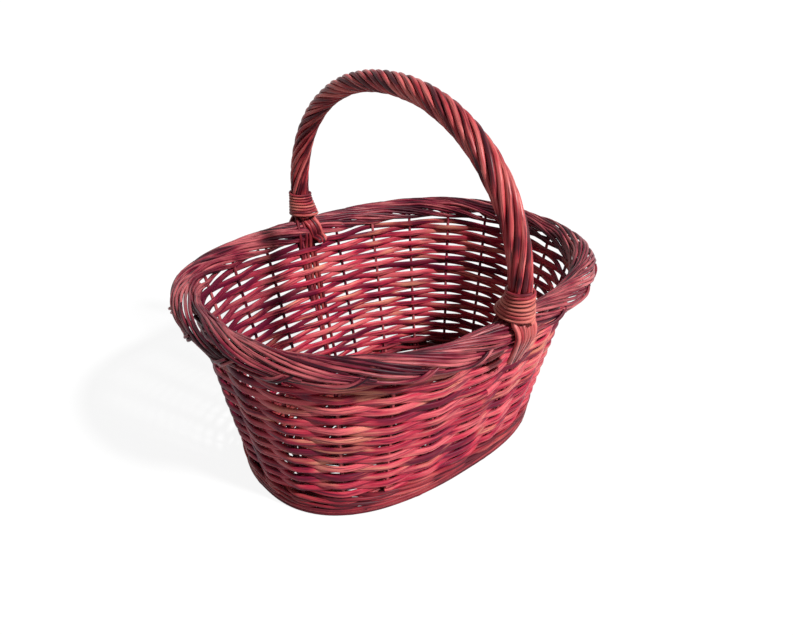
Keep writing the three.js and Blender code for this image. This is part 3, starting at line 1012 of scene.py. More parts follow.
@dataclass
class Siding(Weaver):
    """The wall: rods that go outside one post and inside the next, round and round."""

    node_count: int = 10
    posts_per_node: int = 56
    rods_per_node: int = 2
    start_height: float = 27.5 * MM
    top_gap: float = 6.5 * MM
    stake_radius: float = 1.7 * MM
    seat_gap: float = 0.1 * MM
    butt_radius: float = 3.4 * MM
    tip_radius: float = 2.95 * MM
    thickness_scatter: tuple[float, float] = (0.93, 1.06)
    lead_in_posts: int = 16
    # Rods added to the last node, which fill the wall up to the border
    top_rods: int = 2
    stiffness: float = 0.6
    steps_per_post: int = 18
    end_overlap: float = 0.07
    sway: float = 1.2 * MM
    # Repeats of the slow and of the quick sway, round the wall and in a metre of height
    slow_sway: tuple[float, float] = (3.2, 16)
    quick_sway: tuple[float, float] = (9, 55)
    quick_shift: float = 7
    quick_part: float = 0.35
    # The siding's finish paints shade onto the wall's end at -X and +Y, inside and out
    finish: WillowFinish = WillowFinish(
        "siding_bark", "siding_willow", dye=(0.40, 0.018, 0.045), deep=(0.10, 0.005, 0.022),
        worn=(0.67, 0.20, 0.19), worn_share=0.36, specular=0.12, faded_share=0.42, end_shade_share=0.7,
    )

    def __post_init__(self) -> None:
        """Works out the spiral's pitch from the wall between the wale and the border."""
        form = self.form
        self.near_stake = math.floor((form.near_share - form.start_share) * form.stake_count)
        # The handle's two feet are posts too
        self.posts_per_turn = form.stake_count + 2
        turns = self.node_count * self.posts_per_node / self.posts_per_turn
        end_height = form.border_height - form.border_radius - self.top_gap
        self.pitch = (end_height - self.start_height) / turns

    def post(self, number: int) -> tuple[float, float]:
        """A post of the whole spiral.

        Args:
            number: The post, counted from the spiral's start.

        Returns:
            Its share of the perimeter, counting on past one turn, and the side that it is passed on.
        """
        form = self.form
        turn, place = divmod(number, self.posts_per_turn)
        stake = place - 1 if place > self.near_stake else place
        share = form.stake_share(stake)
        if place == self.near_stake + 1:
            share = form.near_share
        if place == self.posts_per_turn - 1:
            stake = form.stake_count
            share = form.far_share + 1
        count = turn * form.stake_count + stake
        return share + turn, 1.0 if count % 2 == 0 else -1.0

    def stray(self, share: float, height: float) -> float:
        """How far a rod strays up or down from its even spiral.

        Args:
            share: How far round, as a share of the perimeter.
            height: The spiral's height there.

        Returns:
            The rise.
        """
        turn = share * FULL_TURN
        x, y = math.cos(turn), math.sin(turn)
        slow_round, slow_up = self.slow_sway
        quick_round, quick_up = self.quick_sway
        slow = noise.noise(Vector((slow_round * x, slow_round * y, height * slow_up)))
        quick_height = height * quick_up + self.quick_shift
        quick = noise.noise(Vector((quick_round * x, quick_round * y, quick_height)))
        return self.sway * slow + self.quick_part * self.sway * quick

    def place(self, at: float, radius: float) -> Vector:
        """A point of the spiral's centre line.

        Args:
            at: The post number, which may lie between two posts.
            radius: The rod's half thickness there.

        Returns:
            The point.
        """
        number = math.floor(at)
        share_a, side_a = self.post(number)
        share_b, side_b = self.post(number + 1)
        share = mix(share_a, share_b, at - number)
        side = round_blend(side_a, side_b, at - number, self.stiffness)
        height = self.start_height + (share - self.form.start_share) * self.pitch
        depth = radius * Section.TALL.value[0]
        outward = side * (self.stake_radius + depth + self.seat_gap)
        return self.form.wall_point(share, height + self.stray(share, height), outward)

    def build(self) -> None:
        """Weaves every siding rod."""
        span = self.posts_per_node // self.rods_per_node
        for index in range(self.node_count):
            first = index * self.posts_per_node
            is_last = index == self.node_count - 1
            rods = []
            for part in range(self.rods_per_node + (self.top_rods if is_last else 0)):
                start = self.inner_post(first + part * span) - self.end_overlap
                end = self.inner_post(first + (part + 1) * span) + self.end_overlap
                if index == 0 and part == 0:
                    start = -self.lead_in_posts - self.end_overlap
                rods.append(self.siding_rod(start, end, part % 2 == 0))
            name = f"woven_siding_{index + 1:02d}"
            self.add_piece(name, rods, self.finish, f"siding_rod_{index + 1:02d}", Section.TALL)

    def inner_post(self, number: int) -> int:
        """The first post from a number on that the rod passes inside, where its end is hidden."""
        return number if self.post(number)[1] < 0 else number + 1

    def siding_rod(self, start: float, end: float, butt_first: bool) -> Rod:
        """One rod between two places on the spiral.

        Args:
            start: The post number where it starts.
            end: The post number where it ends.
            butt_first: Whether its thick end is at the start.

        Returns:
            The rod.
        """
        count = round((end - start) * self.steps_per_post)
        scale = self.draws.uniform(*self.thickness_scatter)
        butt, tip = self.butt_radius * scale, self.tip_radius * scale
        thick, thin = (butt, tip) if butt_first else (tip, butt)

        def radius_at(share: float) -> float:
            """The half thickness at a share of the rod."""
            return mix(thick, thin, share)

        points = [self.place(mix(start, end, i / count), radius_at(i / count)) for i in range(count + 1)]
        return self.rod(points, radius_at, butt_first)


@dataclass
class Stakes(Weaver):
    """The stakes with the rods laid beside them, which together roll over as the border.

    A short rod stands beside each stake's foot.
    """

    foot_height: float = 1 * MM
    foot_radius: float = 1.85 * MM
    neck_radius: float = 1.7 * MM
    tip_radius: float = 1.45 * MM
    beside_radius: float = 1.75 * MM
    thickness_scatter: tuple[float, float] = (0.94, 1.07)
    neck_height: float = 191 * MM
    # Shares of a stake and of a rod beside it that lie below the neck
    neck_share: float = 0.35
    beside_neck_share: float = 0.3
    wall_step: float = 9 * MM
    wall_sway: float = 0.9 * MM
    wall_sway_rate: float = 22
    beside_gap: float = 3.25 * MM
    # Strands of a stake's group, and how often there is one more
    strand_count: int = 3
    fourth_chance: float = 0.6
    shift_scatter: float = 0.05
    turn_scatter_degrees: float = 2.5
    step: float = 2.3 * MM
    # Places on the border run, in stakes crossed
    run_step: float = 0.08
    slope_step: float = 0.05
    join_start: float = 2.6
    join_end: float = 3.5
    settle_start: float = 1
    settle_reach: float = 2
    free_start: float = 0.4
    free_reach: float = 1.2
    waver: float = math.radians(4.2)
    waver_rate: float = 1.7
    waver_slice: float = 3
    ripple: float = 0.6 * MM
    ripple_rate: float = 1.9
    ripple_slice: float = 9
    bye_foot: float = 3 * MM
    bye_top: float = 24 * MM
    bye_lean: float = 8.5 * MM
    bye_side: float = 4.4 * MM
    bye_inward: float = 0.6 * MM
    finish: WillowFinish = WillowFinish(
        "stake_bark", "stake_willow", dye=(0.165, 0.007, 0.025), deep=(0.020, 0.001, 0.006),
        worn=(0.63, 0.18, 0.175), worn_share=0.42, specular=0.14, roughness=0.34,
    )
    # Stakes crossed, angle round the roll in degrees, distance from its middle in millimetres
    lead: tuple[tuple[float, float, float], ...] = (
        (0.10, 174, 9.9), (0.30, 168, 10.4), (1.0, 160, 10.6), (2.0, 146, 9.2), (2.6, 127, 9.4),
        (3.0, 109, 9.9), (3.5, 84, 10.8), (4.0, 54, 11.5), (4.4, 28, 11.5), (4.8, 2, 10.6),
        (5.1, -18, 9.4), (5.4, -38, 9.3), (5.7, -56, 9.9), (5.95, -62, 10.9), (6.15, -49, 12.0),
        (6.35, -24, 12.2), (6.56, 6, 9.0),
    )
    starts: tuple[tuple[tuple[float, float, float], ...], ...] = (
        ((0.12, 226, 9.0), (0.45, 216, 11.4), (1.0, 204, 14.8), (1.5, 183, 13.7), (2.0, 161, 12.8),
         (2.5, 139, 12.3), (3.0, 117, 11.6), (3.5, 99, 10.9)),
        ((0.25, 229, 10.0), (0.6, 219, 12.6), (1.0, 211, 15.2), (1.5, 192, 14.4), (2.0, 171, 13.2),
         (2.5, 150, 12.5), (3.0, 131, 11.9), (3.5, 113, 11.1)),
        ((0.5, 230, 10.5), (1.0, 218, 13.4), (1.6, 200, 14.0), (2.2, 178, 13.2), (2.8, 155, 12.5),
         (3.5, 128, 11.4)),
    )
    ends: tuple[float, ...] = (6.56, 6.44, 5.6, 5.2)

    def build(self) -> None:
        """Sets every stake and rolls its group round the border."""
        turn_scatter = self.turn_scatter_degrees
        for number in range(self.form.stake_count):
            count = self.strand_count + (self.draws.random() < self.fourth_chance)
            shift = self.draws.uniform(-self.shift_scatter, self.shift_scatter)
            turn = math.radians(self.draws.uniform(-turn_scatter, turn_scatter))
            rods = [self.strand(number, order, shift, turn) for order in range(count)]
            rods.append(self.bye_stake(number))
            name = f"stake_and_border_{number + 1:02d}"
            self.add_piece(name, rods, self.finish, f"stake_{number + 1:02d}")

    def run_place(self, order: int, crossed: float) -> tuple[float, float]:
        """The angle and radius of a strand's own line before it is laid in its group.

        Args:
            order: The strand, 0 for the stake itself.
            crossed: How many stakes it has crossed.

        Returns:
            The angle in radians and the radius.
        """
        lead_turn = table_value(self.lead, crossed, 1)
        lead_radius = table_value(self.lead, crossed, 2)
        if order == 0:
            return math.radians(lead_turn), lead_radius * MM
        own = self.starts[order - 1]
        beside = lead_turn + self.beside_turn(order, crossed)
        part = self.joined(crossed)
        turn = mix(table_value(own, crossed, 1), beside, part)
        radius = mix(table_value(own, crossed, 2), lead_radius, part)
        return math.radians(turn), radius * MM

    def joined(self, crossed: float) -> float:
        """How far a rod has joined the stake beside it, from 0 to 1."""
        return smooth_step((crossed - self.join_start) / (self.join_end - self.join_start))

    def beside_turn(self, order: int, crossed: float) -> float:
        """How much further back round the roll a strand lies than the stake in its group.

        Args:
            order: The strand.
            crossed: How many stakes it has crossed.

        Returns:
            The angle in degrees.
        """
        slope = self.lead_slope(crossed)
        reach = order * self.beside_gap * math.sqrt(1 / (1 + slope * slope))
        return math.degrees(reach / self.form.ring_radius)

    def lead_slope(self, crossed: float) -> float:
        """How steeply the stake runs round the roll.

        Args:
            crossed: How many stakes it has crossed.

        Returns:
            Its rise over its way along the border.
        """
        gap = self.slope_step
        fall = table_value(self.lead, crossed + gap, 1) - table_value(self.lead, crossed - gap, 1)
        way = 2 * gap * self.form.perimeter / self.form.stake_count
        return math.radians(fall) * self.form.ring_radius / way

    def beside_shift(self, order: int, crossed: float) -> float:
        """How far along the border a strand is shifted against the stake.

        Args:
            order: The strand.
            crossed: How many stakes it has crossed.

        Returns:
            The shift, in stakes.
        """
        slope = self.lead_slope(crossed)
        reach = order * self.beside_gap * slope / math.sqrt(1 + slope * slope)
        return -reach * self.joined(crossed) / self.form.perimeter * self.form.stake_count

    def wall_stations(self, number: int, wander: float) -> list[Vector]:
        """The way of a stake up the wall.

        Args:
            number: The stake.
            wander: Where its unevenness is read from the noise.

        Returns:
            The stations, from the foot up.
        """
        form = self.form
        count = round((self.neck_height - self.foot_height) / self.wall_step)
        stations = []
        for i in range(count + 1):
            height = mix(self.foot_height, self.neck_height, i / count)
            stray = noise.noise(Vector((wander, height * self.wall_sway_rate, 0)))
            sideways = self.wall_sway * stray / form.perimeter
            stations.append(form.wall_point(form.stake_share(number) + sideways, height))
        return stations

    def border_stations(self, number: int, order: int, shift: float, turn: float,
                        wander: float) -> list[Vector]:
        """The way of a strand round the border.

        Args:
            number: The stake.
            order: The strand, 0 for the stake itself.
            shift: How far its run is shifted, in stakes.
            turn: How far its run is turned.
            wander: Where its unevenness is read from the noise.

        Returns:
            The stations, from the neck to the tip.
        """
        form = self.form
        first = self.lead[0][0] if order == 0 else self.starts[order - 1][0][0]
        last = self.ends[order] + shift
        count = math.ceil((last - first) / self.run_step)
        stations = []
        for i in range(count + 1):
            crossed = mix(first, last, i / count)
            settled = smooth_step((crossed - self.settle_start) / self.settle_reach)
            run_turn, radius = self.run_place(order, crossed - shift * settled)
            waver = noise.noise(Vector((wander, crossed * self.waver_rate, self.waver_slice)))
            ripple = noise.noise(Vector((wander, crossed * self.ripple_rate, self.ripple_slice)))
            free = smooth_step((crossed - self.free_start) / self.free_reach)
            stations.append(form.border_point(
                form.stake_share(number + crossed + self.beside_shift(order, crossed)),
                run_turn + (turn + self.waver * waver) * free,
                radius + self.ripple * ripple * free,
            ))
        return stations

    def strand(self, number: int, order: int, shift: float, turn: float) -> Rod:
        """One strand of a stake's group.

        Args:
            number: The stake.
            order: The strand, 0 for the stake itself.
            shift: How far its border run is shifted, in stakes.
            turn: How far its border run is turned.

        Returns:
            The rod.
        """
        wander = self.draws.uniform(0, NOISE_SPAN)
        stations = self.wall_stations(number, wander) if order == 0 else []
        stations += self.border_stations(number, order, shift, turn, wander)
        points = smooth_route(stations, self.step)
        start_radius = self.foot_radius if order == 0 else self.beside_radius
        start_radius *= self.draws.uniform(*self.thickness_scatter)
        neck = self.neck_radius if order == 0 else start_radius
        neck_share = self.neck_share if order == 0 else self.beside_neck_share

        def radius_at(share: float) -> float:
            """The half thickness along the strand.

            Args:
                share: The share of its length.

            Returns:
                The half thickness there.
            """
            if share < neck_share:
                return mix(start_radius, neck, share / neck_share)
            return mix(neck, self.tip_radius, (share - neck_share) / (1 - neck_share))

        return self.rod(points, radius_at)

    def bye_stake(self, number: int) -> Rod:
        """The short rod set beside a stake's foot, which leans in to it.

        Args:
            number: The stake.

        Returns:
            The rod.
        """
        form = self.form
        side = -1 if self.draws.random() < 0.5 else 1
        stations = []
        for part, outward in ((0.0, -self.bye_inward), (0.5, 0.0), (1.0, 0.0)):
            sideways = side * mix(self.bye_lean, self.bye_side, part) / form.perimeter
            height = mix(self.bye_foot, self.bye_top, part)
            stations.append(form.wall_point(form.stake_share(number) + sideways, height, outward))
        points = smooth_route(stations, self.step)
        return self.rod(points, lambda part: mix(self.beside_radius, self.tip_radius, part))


WALE_BARK = WillowFinish("wale_bark", "wale_willow", deep=(0.07, 0.009, 0.016))


@dataclass
class Wale(Weaver):
    """The upsett: three rods, each outside two stakes and inside the next, under the siding."""

    rod_count: int = 3
    rod_radius: float = 2.05 * MM
    rounds: int = 2
    first_height: float = 10.4 * MM
    rise: float = 7.6 * MM
    spread: float = 4.2 * MM
    stake_radius: float = 2.1 * MM
    seat_gap: float = 0.2 * MM
    steps_per_stake: int = 20
    end_gap: float = 0.5
    butt_scale: float = 1.08
    tip_scale: float = 0.92
    finish: WillowFinish = WALE_BARK

    def place(self, at: float, phase: int) -> Vector:
        """A point of a wale rod.

        Args:
            at: The stake number, which may lie between two stakes.
            phase: Which of the rods it is.

        Returns:
            The point.
        """
        reach = self.stake_radius + self.rod_radius + self.seat_gap
        stages = ((-reach, 0.0), (reach, self.spread / 2), (reach, -self.spread / 2))
        number = math.floor(at)
        before = stages[(number + phase) % self.rod_count]
        after = stages[(number + 1 + phase) % self.rod_count]
        part = at - number
        outward = round_blend(before[0], after[0], part)
        lift = round_blend(before[1], after[1], part)
        height = self.first_height + self.rise * at / self.form.stake_count + lift
        return self.form.wall_point(self.form.stake_share(at), height, outward)

    def build(self) -> None:
        """Weaves the three rods round the foot of the wall."""
        count = self.form.stake_count * self.rounds
        for phase in range(self.rod_count):
            steps = round((count - self.end_gap - phase) * self.steps_per_stake)
            points = [self.place(i / self.steps_per_stake, phase) for i in range(steps + 1)]
            rod = self.rod(points, self.radius_at)
            self.add_piece(f"upsett_wale_{phase + 1}", [rod], self.finish, f"wale_rod_{phase + 1}")

    def radius_at(self, share: float) -> float:
        """The half thickness at a share of a rod."""
        return self.rod_radius * mix(self.butt_scale, self.tip_scale, share)


@dataclass
class Foot(Weaver):
    """The rods laid round both sides of the stakes' feet, and one that climbs from them into the wale."""

    # Height, distance out from the wall and half thickness of each round, in millimetres
    rounds: tuple[tuple[float, float, float], ...] = (
        (2.6, 5.4, 2.2), (6.0, 5.2, 1.95), (3.0, -4.6, 1.8), (6.6, -4.3, 1.8),
    )
    stagger: float = 0.37
    wave: float = 0.35 * MM
    wave_rate: float = 14
    wave_stride: float = 5.0
    wave_slice: float = 2
    steps: int = 420
    gap_share: float = 0.004
    rising_start: float = 0.15
    rising_height: float = 4.6 * MM
    rising_slope: float = 7.6 * MM
    rising_outward: float = 5.0 * MM
    rising_radius: float = 2.0 * MM
    finish: WillowFinish = WALE_BARK

    def rising_rod(self) -> Rod:
        """The rod that leaves the foot and climbs with the wale above it.

        Returns:
            The rod.
        """
        points = []
        for i in range(self.steps + 1):
            turn = mix(self.rising_start, 1.0, i / self.steps)
            share = self.form.stake_share(turn * self.form.stake_count)
            height = self.rising_height + self.rising_slope * turn
            points.append(self.form.wall_point(share, height, self.rising_outward))
        return self.rod(points, lambda share: self.rising_radius)

    def laid_rod(self, order: int) -> Rod:
        """A rod that lies level round the foot.

        Args:
            order: Its row in the table of rounds.

        Returns:
            The rod.
        """
        height, outward, radius = self.rounds[order]
        start = self.form.start_share + order * self.stagger
        points = []
        for i in range(self.steps + 1):
            share = start + i / self.steps * (1 - self.gap_share)
            waver = noise.noise(Vector((share * self.wave_rate, order * self.wave_stride, self.wave_slice)))
            lift = self.wave * waver if order else 0.0
            points.append(self.form.wall_point(share, height * MM + lift, outward * MM + self.wave * waver))
        return self.rod(points, lambda share: radius * MM)

    def build(self) -> None:
        """Lays the rounds and the climbing rod as one piece."""
        rods = [self.laid_rod(order) for order in range(len(self.rounds))]
        rods.append(self.rising_rod())
        self.add_piece("foot_rounds", rods, self.finish, "foot_rod")


@dataclass(frozen=True)
class PairingPost:
    """A place that the pairing passes: the cross sticks passed before it, its lift and its angle."""

    crossings: int
    lift: float
    angle: Callable[[Oval], float]


@dataclass
class Base(Weaver):
    """The base: cross sticks, slit to take the long sticks, and two rods that pair round them."""

    cross_count: int = 5
    cross_radius: float = 3 * MM
    cross_spacing: float = 22 * MM
    long_count: int = 3
    long_radius: float = 2.55 * MM
    long_spacing: float = 5.3 * MM
    weaver_count: int = 2
    weaver_radius: float = 2.1 * MM
    row_pitch: float = 4.9 * MM
    row_gap: float = 0.3 * MM
    inner_width: float = 17 * MM
    floor_gap: float = 0.5 * MM
    weave_ease: float = 0.95 * MM
    edge: float = 2.85 * MM
    row_edge: float = 1.5 * MM
    steps_per_post: int = 8
    step: float = 4 * MM
    long_stations: int = 12
    half_stations: int = 8
    slit_length: float = 20 * MM
    slit_rise: float = 2.3 * MM
    # How far a slit half is raised along its way, and where the first and last of these lie
    slit_shape: tuple[float, ...] = (0.25, 0.62, 0.95, 1.0, 0.95, 0.62, 0.25)
    slit_margin: float = 0.2
    slit_press: float = 0.3
    # A slit half's thickness at its middle, and how much it gains to its ends, against the whole stick
    slit_thin: float = 0.52
    slit_swell: float = 0.25
    butt_scale: float = 1.05
    tip_scale: float = 0.95
    corner_shares: tuple[float, ...] = (1 / 3, 2 / 3)
    finish: WillowFinish = WillowFinish(
        "base_bark", "base_willow", dye=(0.20, 0.026, 0.026), deep=(0.055, 0.009, 0.013), roughness=0.5,
    )

    def __post_init__(self) -> None:
        """Works out the base's height and ovals."""
        seat = self.weaver_radius + self.weave_ease
        self.cross_lift = self.cross_radius + seat
        self.long_lift = self.long_radius + seat
        self.height = self.floor_gap + self.cross_lift + self.weaver_radius
        self.oval = self.form.wall_oval(self.height)
        self.stick_oval = self.form.wall_oval(self.height - self.cross_radius)
        self.long_edge = (self.long_count - 1) / 2 * self.long_spacing + self.long_radius
        middle = (self.cross_count - 1) / 2
        self.crosses = [(order - middle) * self.cross_spacing for order in range(self.cross_count)]

    def build(self) -> None:
        """Lays the sticks and pairs the base."""
        for order in range(self.long_count):
            rod = self.long_stick((order - (self.long_count - 1) / 2) * self.long_spacing)
            self.add_piece(f"long_stick_{order + 1}", [rod], self.finish, f"base_long_stick_{order + 1}")
        for order, x in enumerate(self.crosses):
            name = f"slit_cross_stick_{order + 1}"
            self.add_piece(name, self.cross_halves(x), self.finish, f"base_cross_stick_{order + 1}")
        posts = self.posts()
        for order in range(self.weaver_count):
            rod = self.pairing_rod(order, posts)
            name = f"base_pairing_{order + 1}"
            self.add_piece(name, [rod], self.finish, f"base_weaver_{order + 1}", Section.FLAT)

    def long_stick(self, y: float) -> Rod:
        """A stick that runs the long way.

        Args:
            y: The stick's place.

        Returns:
            The rod.
        """
        reach = self.stick_oval.point(self.stick_oval.angle_at_y(y)).x - self.edge
        count = self.long_stations
        stations = [Vector((mix(-reach, reach, i / count), y, self.height)) for i in range(count + 1)]
        return self.rod(smooth_route(stations, self.step), lambda share: self.long_radius)

    def cross_halves(self, x: float) -> list[Rod]:
        """A cross stick: two solid ends and the two halves that its slit opens into.

        Args:
            x: The stick's place.

        Returns:
            Its four rods, which meet end to end.
        """
        reach = self.stick_oval.point(self.stick_oval.angle_at_x(x)).y - self.edge
        half_slit = self.slit_length / 2
        count = self.half_stations
        gaps = len(self.slit_shape) - 1 + 2 * self.slit_margin
        rise = self.slit_rise + self.long_radius * self.slit_press
        rods = []
        for side in (-1, 1):
            stations = [
                Vector((x, side * mix(half_slit, reach, i / count), self.height)) for i in range(count + 1)
            ]
            rods.append(self.rod(smooth_route(stations, self.step), lambda share: self.cross_radius))
            spread = [
                Vector((x, mix(-half_slit, half_slit, (i + self.slit_margin) / gaps),
                        self.height + side * part * rise))
                for i, part in enumerate(self.slit_shape)
            ]
            rods.append(self.rod(smooth_route(spread, self.step / 2), self.slit_radius))
        return rods

    def slit_radius(self, share: float) -> float:
        """The half thickness of a slit half at a share of its length."""
        return self.cross_radius * (self.slit_thin + self.slit_swell * abs(2 * share - 1))

    def posts(self) -> list[PairingPost]:
        """The posts of half a turn round the base.

        Returns:
            The posts, from the long sticks' +X ends to their -X ends.
        """
        crosses = list(reversed(self.crosses))

        def long_angle(oval: Oval) -> float:
            """The angle at the edge of the long sticks."""
            return oval.angle_at_y(self.long_edge)

        def bend(oval: Oval, share: float) -> float:
            """The angle a share of the way from the long sticks to the first cross stick."""
            return mix(long_angle(oval), oval.angle_at_x(crosses[0]), share)

        rows = [PairingPost(0, self.long_lift, long_angle)]
        for share in self.corner_shares:
            lift = mix(self.long_lift, -self.cross_lift, share)
            rows.append(PairingPost(0, lift, lambda oval, share=share: bend(oval, share)))
        for order, x in enumerate(crosses):
            rows.append(PairingPost(order + 1, self.cross_lift, lambda oval, x=x: oval.angle_at_x(x)))
        for share in self.corner_shares:
            lift = mix(self.cross_lift, -self.long_lift, share)
            rows.append(PairingPost(
                self.cross_count, lift, lambda oval, share=share: math.pi - bend(oval, 1 - share),
            ))
        rows.append(PairingPost(
            self.cross_count + 1, self.long_lift, lambda oval: math.pi - long_angle(oval),
        ))
        return rows

    def pairing_rod(self, order: int, posts: Sequence[PairingPost]) -> Rod:
        """One of the rods that pair the base, from its middle out.

        Args:
            order: Which rod of the pair.
            posts: The posts of half a turn.

        Returns:
            The rod.
        """
        inner = self.oval.half_width - self.inner_width / 2
        outer = self.row_edge + (self.row_pitch - self.row_gap) / 2
        turns = (inner - outer) / self.row_pitch / self.weaver_count
        last = math.floor((turns - order / self.weaver_count) * 2 * len(posts))
        count = last * self.steps_per_post
        points = [self.pairing_place(last * i / count, order, posts, inner) for i in range(count + 1)]
        return self.rod(points, self.pairing_radius)

    def pairing_radius(self, share: float) -> float:
        """The half thickness at a share of a pairing rod."""
        return self.weaver_radius * mix(self.butt_scale, self.tip_scale, share)

    def pairing_place(self, at: float, order: int, posts: Sequence[PairingPost], inner: float) -> Vector:
        """A point of a pairing rod.

        Args:
            at: The post number, which may lie between two posts.
            order: Which rod of the pair.
            posts: The posts of half a turn.
            inner: How far in from the wall the first row lies.

        Returns:
            The point.
        """
        inset = inner - (self.weaver_count * at / (2 * len(posts)) + order) * self.row_pitch
        oval = Oval(self.oval.half_length - inset, self.oval.half_width - inset)

        def read(number: int) -> tuple[float, float]:
            """Reads a post of the whole rod.

            Args:
                number: The post, counted from the rod's start.

            Returns:
                Its angle and the rod's lift there.
            """
            half, row = divmod(number, len(posts))
            post = posts[row]
            over = (half * (self.cross_count + 1) + post.crossings + order) % 2 == 0
            return post.angle(oval) + half * math.pi, post.lift if over else -post.lift

        number = math.floor(at)
        angle_a, lift_a = read(number)
        angle_b, lift_b = read(number + 1)
        place = oval.point(mix(angle_a, angle_b, at - number))
        place.z = self.height + round_blend(lift_a, lift_b, at - number)
        return place


@dataclass
class Handle(Weaver):
    """The handle: a bow, ten rods twisted round it and a binding round each foot."""

    rod_count: int = 10
    twist_in_rods: int = 36
    height: float = 393.6 * MM
    lean: float = 2.4 * MM
    lean_power: float = 0.7
    foot_outward: float = 10.5 * MM
    foot_clearance: float = 6.3 * MM
    spring_rise: float = 13 * MM
    arch_exponent: float = 2.1
    arch_points: int = 30
    line_step: float = 1 * MM
    # Points of the line ahead and behind that give its direction
    direction_reach: int = 3
    border_outer: float = 17.2 * MM
    roll_outer: float = 12.6 * MM
    roll_gap: float = 0.4 * MM
    outer_radius: float = 10.8 * MM
    # How tightly the twisted rods fill the bundle's rim
    packing: float = 0.97
    thickness_scatter: tuple[float, float] = (0.95, 1.06)
    butt_scale: float = 1.03
    tip_scale: float = 0.95
    core_radius: float = 6.0 * MM
    tail_radius: float = 2.3 * MM
    tail_taper: float = 0.8
    tail_feet: tuple[float, ...] = (26 * MM, 92 * MM, 34 * MM, 104 * MM)
    near_tails: tuple[float, ...] = (-9.4 * MM, -4.7 * MM, 0.0, 4.7 * MM)
    far_tails: tuple[float, ...] = (-1.8 * MM, 2.8 * MM, 8.6 * MM, 17.6 * MM)
    tail_stations: int = 9
    tail_step: float = 3 * MM
    # The tails' bends through the border: spread kept, way in from the rim and height over the border
    tail_bends: tuple[tuple[float, float, float], ...] = (
        (0.95, 8.6 * MM, 1 * MM), (0.8, 1.5 * MM, 14 * MM),
    )
    # The tails' ends in the handle's foot: spread kept, way in from its middle and height over it
    tail_end: tuple[float, float, float] = (0.5, 1 * MM, 3 * MM)
    step: float = 2.3 * MM
    samples: int = 150
    # The twisted rods' unevenness: in places round the bundle, and in or out
    waver: float = 0.13
    waver_rate: float = 16
    waver_slice: float = 4
    ripple: float = 0.45 * MM
    ripple_rate: float = 22
    ripple_slice: float = 14
    free_share: float = 0.06
    # The twisted way's length against the handle's middle line
    twist_length: float = 1.08
    bunch_pitch: float = 4.4 * MM
    outer_pairs: int = 3
    outer_turns: tuple[float, ...] = (50, 24, -2, -24)
    inner_turns: tuple[float, ...] = (122, 150, 178, 202)
    squeeze: float = 0.10
    outer_drop: float = 31 * MM
    inner_drop: float = 8.5 * MM
    drop_scatter: float = 3
    # The last stations of a rod: share of its drop, spread kept, and how far it stands off the wall
    last_parts: tuple[float, ...] = (0.62, 1.0)
    last_spreads: tuple[float, float] = (0.8, 0.55)
    outer_stand: tuple[float, ...] = (21 * MM, 18 * MM)
    inner_stand: tuple[float, ...] = (11.5 * MM, 10.5 * MM)
    outer_shift: float = 5 * MM
    far_slant: float = 10 * MM
    slant_loss: float = 0.15
    loops: int = 8
    loop_radius: float = 1.45 * MM
    loop_pitch: float = 3.3 * MM
    loop_steps: int = 40
    loop_gap: float = 0.25 * MM
    loop_share: float = 0.02
    loops_below: float = 7 * MM
    far_loops_rise: float = 5 * MM
    # The lower loops go round the bunch: how many, how much wider, further in and lower at one side
    wide_loops: int = 6
    wide_x: float = 3.0 * MM
    wide_y: float = 6.5 * MM
    wide_inward: float = 5.4 * MM
    wide_sag: float = 2.4 * MM
    loop_butt_scale: float = 1.1
    loop_tip_scale: float = 0.9
    # Share of the line from the near foot, and the twisted bundle's radius there against its least
    girth: tuple[tuple[float, float], ...] = (
        (0.0, 0.97), (0.035, 0.98), (0.09, 1.05), (0.2, 1.13), (0.35, 1.09), (0.5, 0.99), (0.7, 0.98),
        (0.9, 1.0), (1.0, 1.0),
    )
    # Share of the line, and how fast the rods twist there against the mean
    twist_rate: tuple[tuple[float, float], ...] = (
        (0.0, 0.48), (0.12, 0.62), (0.3, 1.02), (0.5, 1.42), (0.7, 1.22), (0.88, 0.85), (1.0, 0.70),
    )
    finish: WillowFinish = WillowFinish(
        "handle_bark", "handle_willow", dye=(0.36, 0.026, 0.036), deep=(0.045, 0.004, 0.010),
        worn=(0.62, 0.19, 0.165), worn_share=0.48, specular=0.18, roughness=0.33,
    )
    core_finish: WillowFinish = WillowFinish(
        "bow_bark", "core_willow", dye=(0.17, 0.012, 0.020), deep=(0.04, 0.003, 0.008),
        worn=(0.42, 0.09, 0.07), roughness=0.5,
    )
    binding_finish: WillowFinish = WillowFinish(
        "binding_bark", "binding_willow", dye=(0.33, 0.028, 0.042), worn=(0.66, 0.23, 0.17), worn_share=0.55,
    )

    def __post_init__(self) -> None:
        """Lays the handle's centre line and sums its twist."""
        form = self.form
        self.rim = form.border_width / 2
        self.reach = self.rim + self.foot_outward
        self.foot = form.border_height + self.border_outer + self.foot_clearance
        spring = self.foot + self.spring_rise
        rise = self.height - self.outer_radius - spring
        stations = [Vector((0, -self.reach, self.foot))]
        power = 2 / self.arch_exponent
        for i in range(self.arch_points + 1):
            angle = math.pi * i / self.arch_points
            y = -math.copysign(abs(math.cos(angle)) ** power, math.cos(angle)) * self.reach
            x = -self.lean * abs(math.sin(angle)) ** self.lean_power
            stations.append(Vector((x, y, spring + rise * abs(math.sin(angle)) ** power)))
        stations.append(Vector((0, self.reach, self.foot)))
        self.line = smooth_route(stations, self.line_step)
        self.line_sums = [0.0]
        for before, after in zip(self.line, self.line[1:]):
            self.line_sums.append(self.line_sums[-1] + (after - before).length)
        self.turns = [0.0]
        for i in range(self.samples):
            self.turns.append(self.turns[-1] + table_value(self.twist_rate, (i + 0.5) / self.samples, 1))
        scale = self.twist_in_rods / self.turns[-1]
        self.turns = [turn * scale for turn in self.turns]

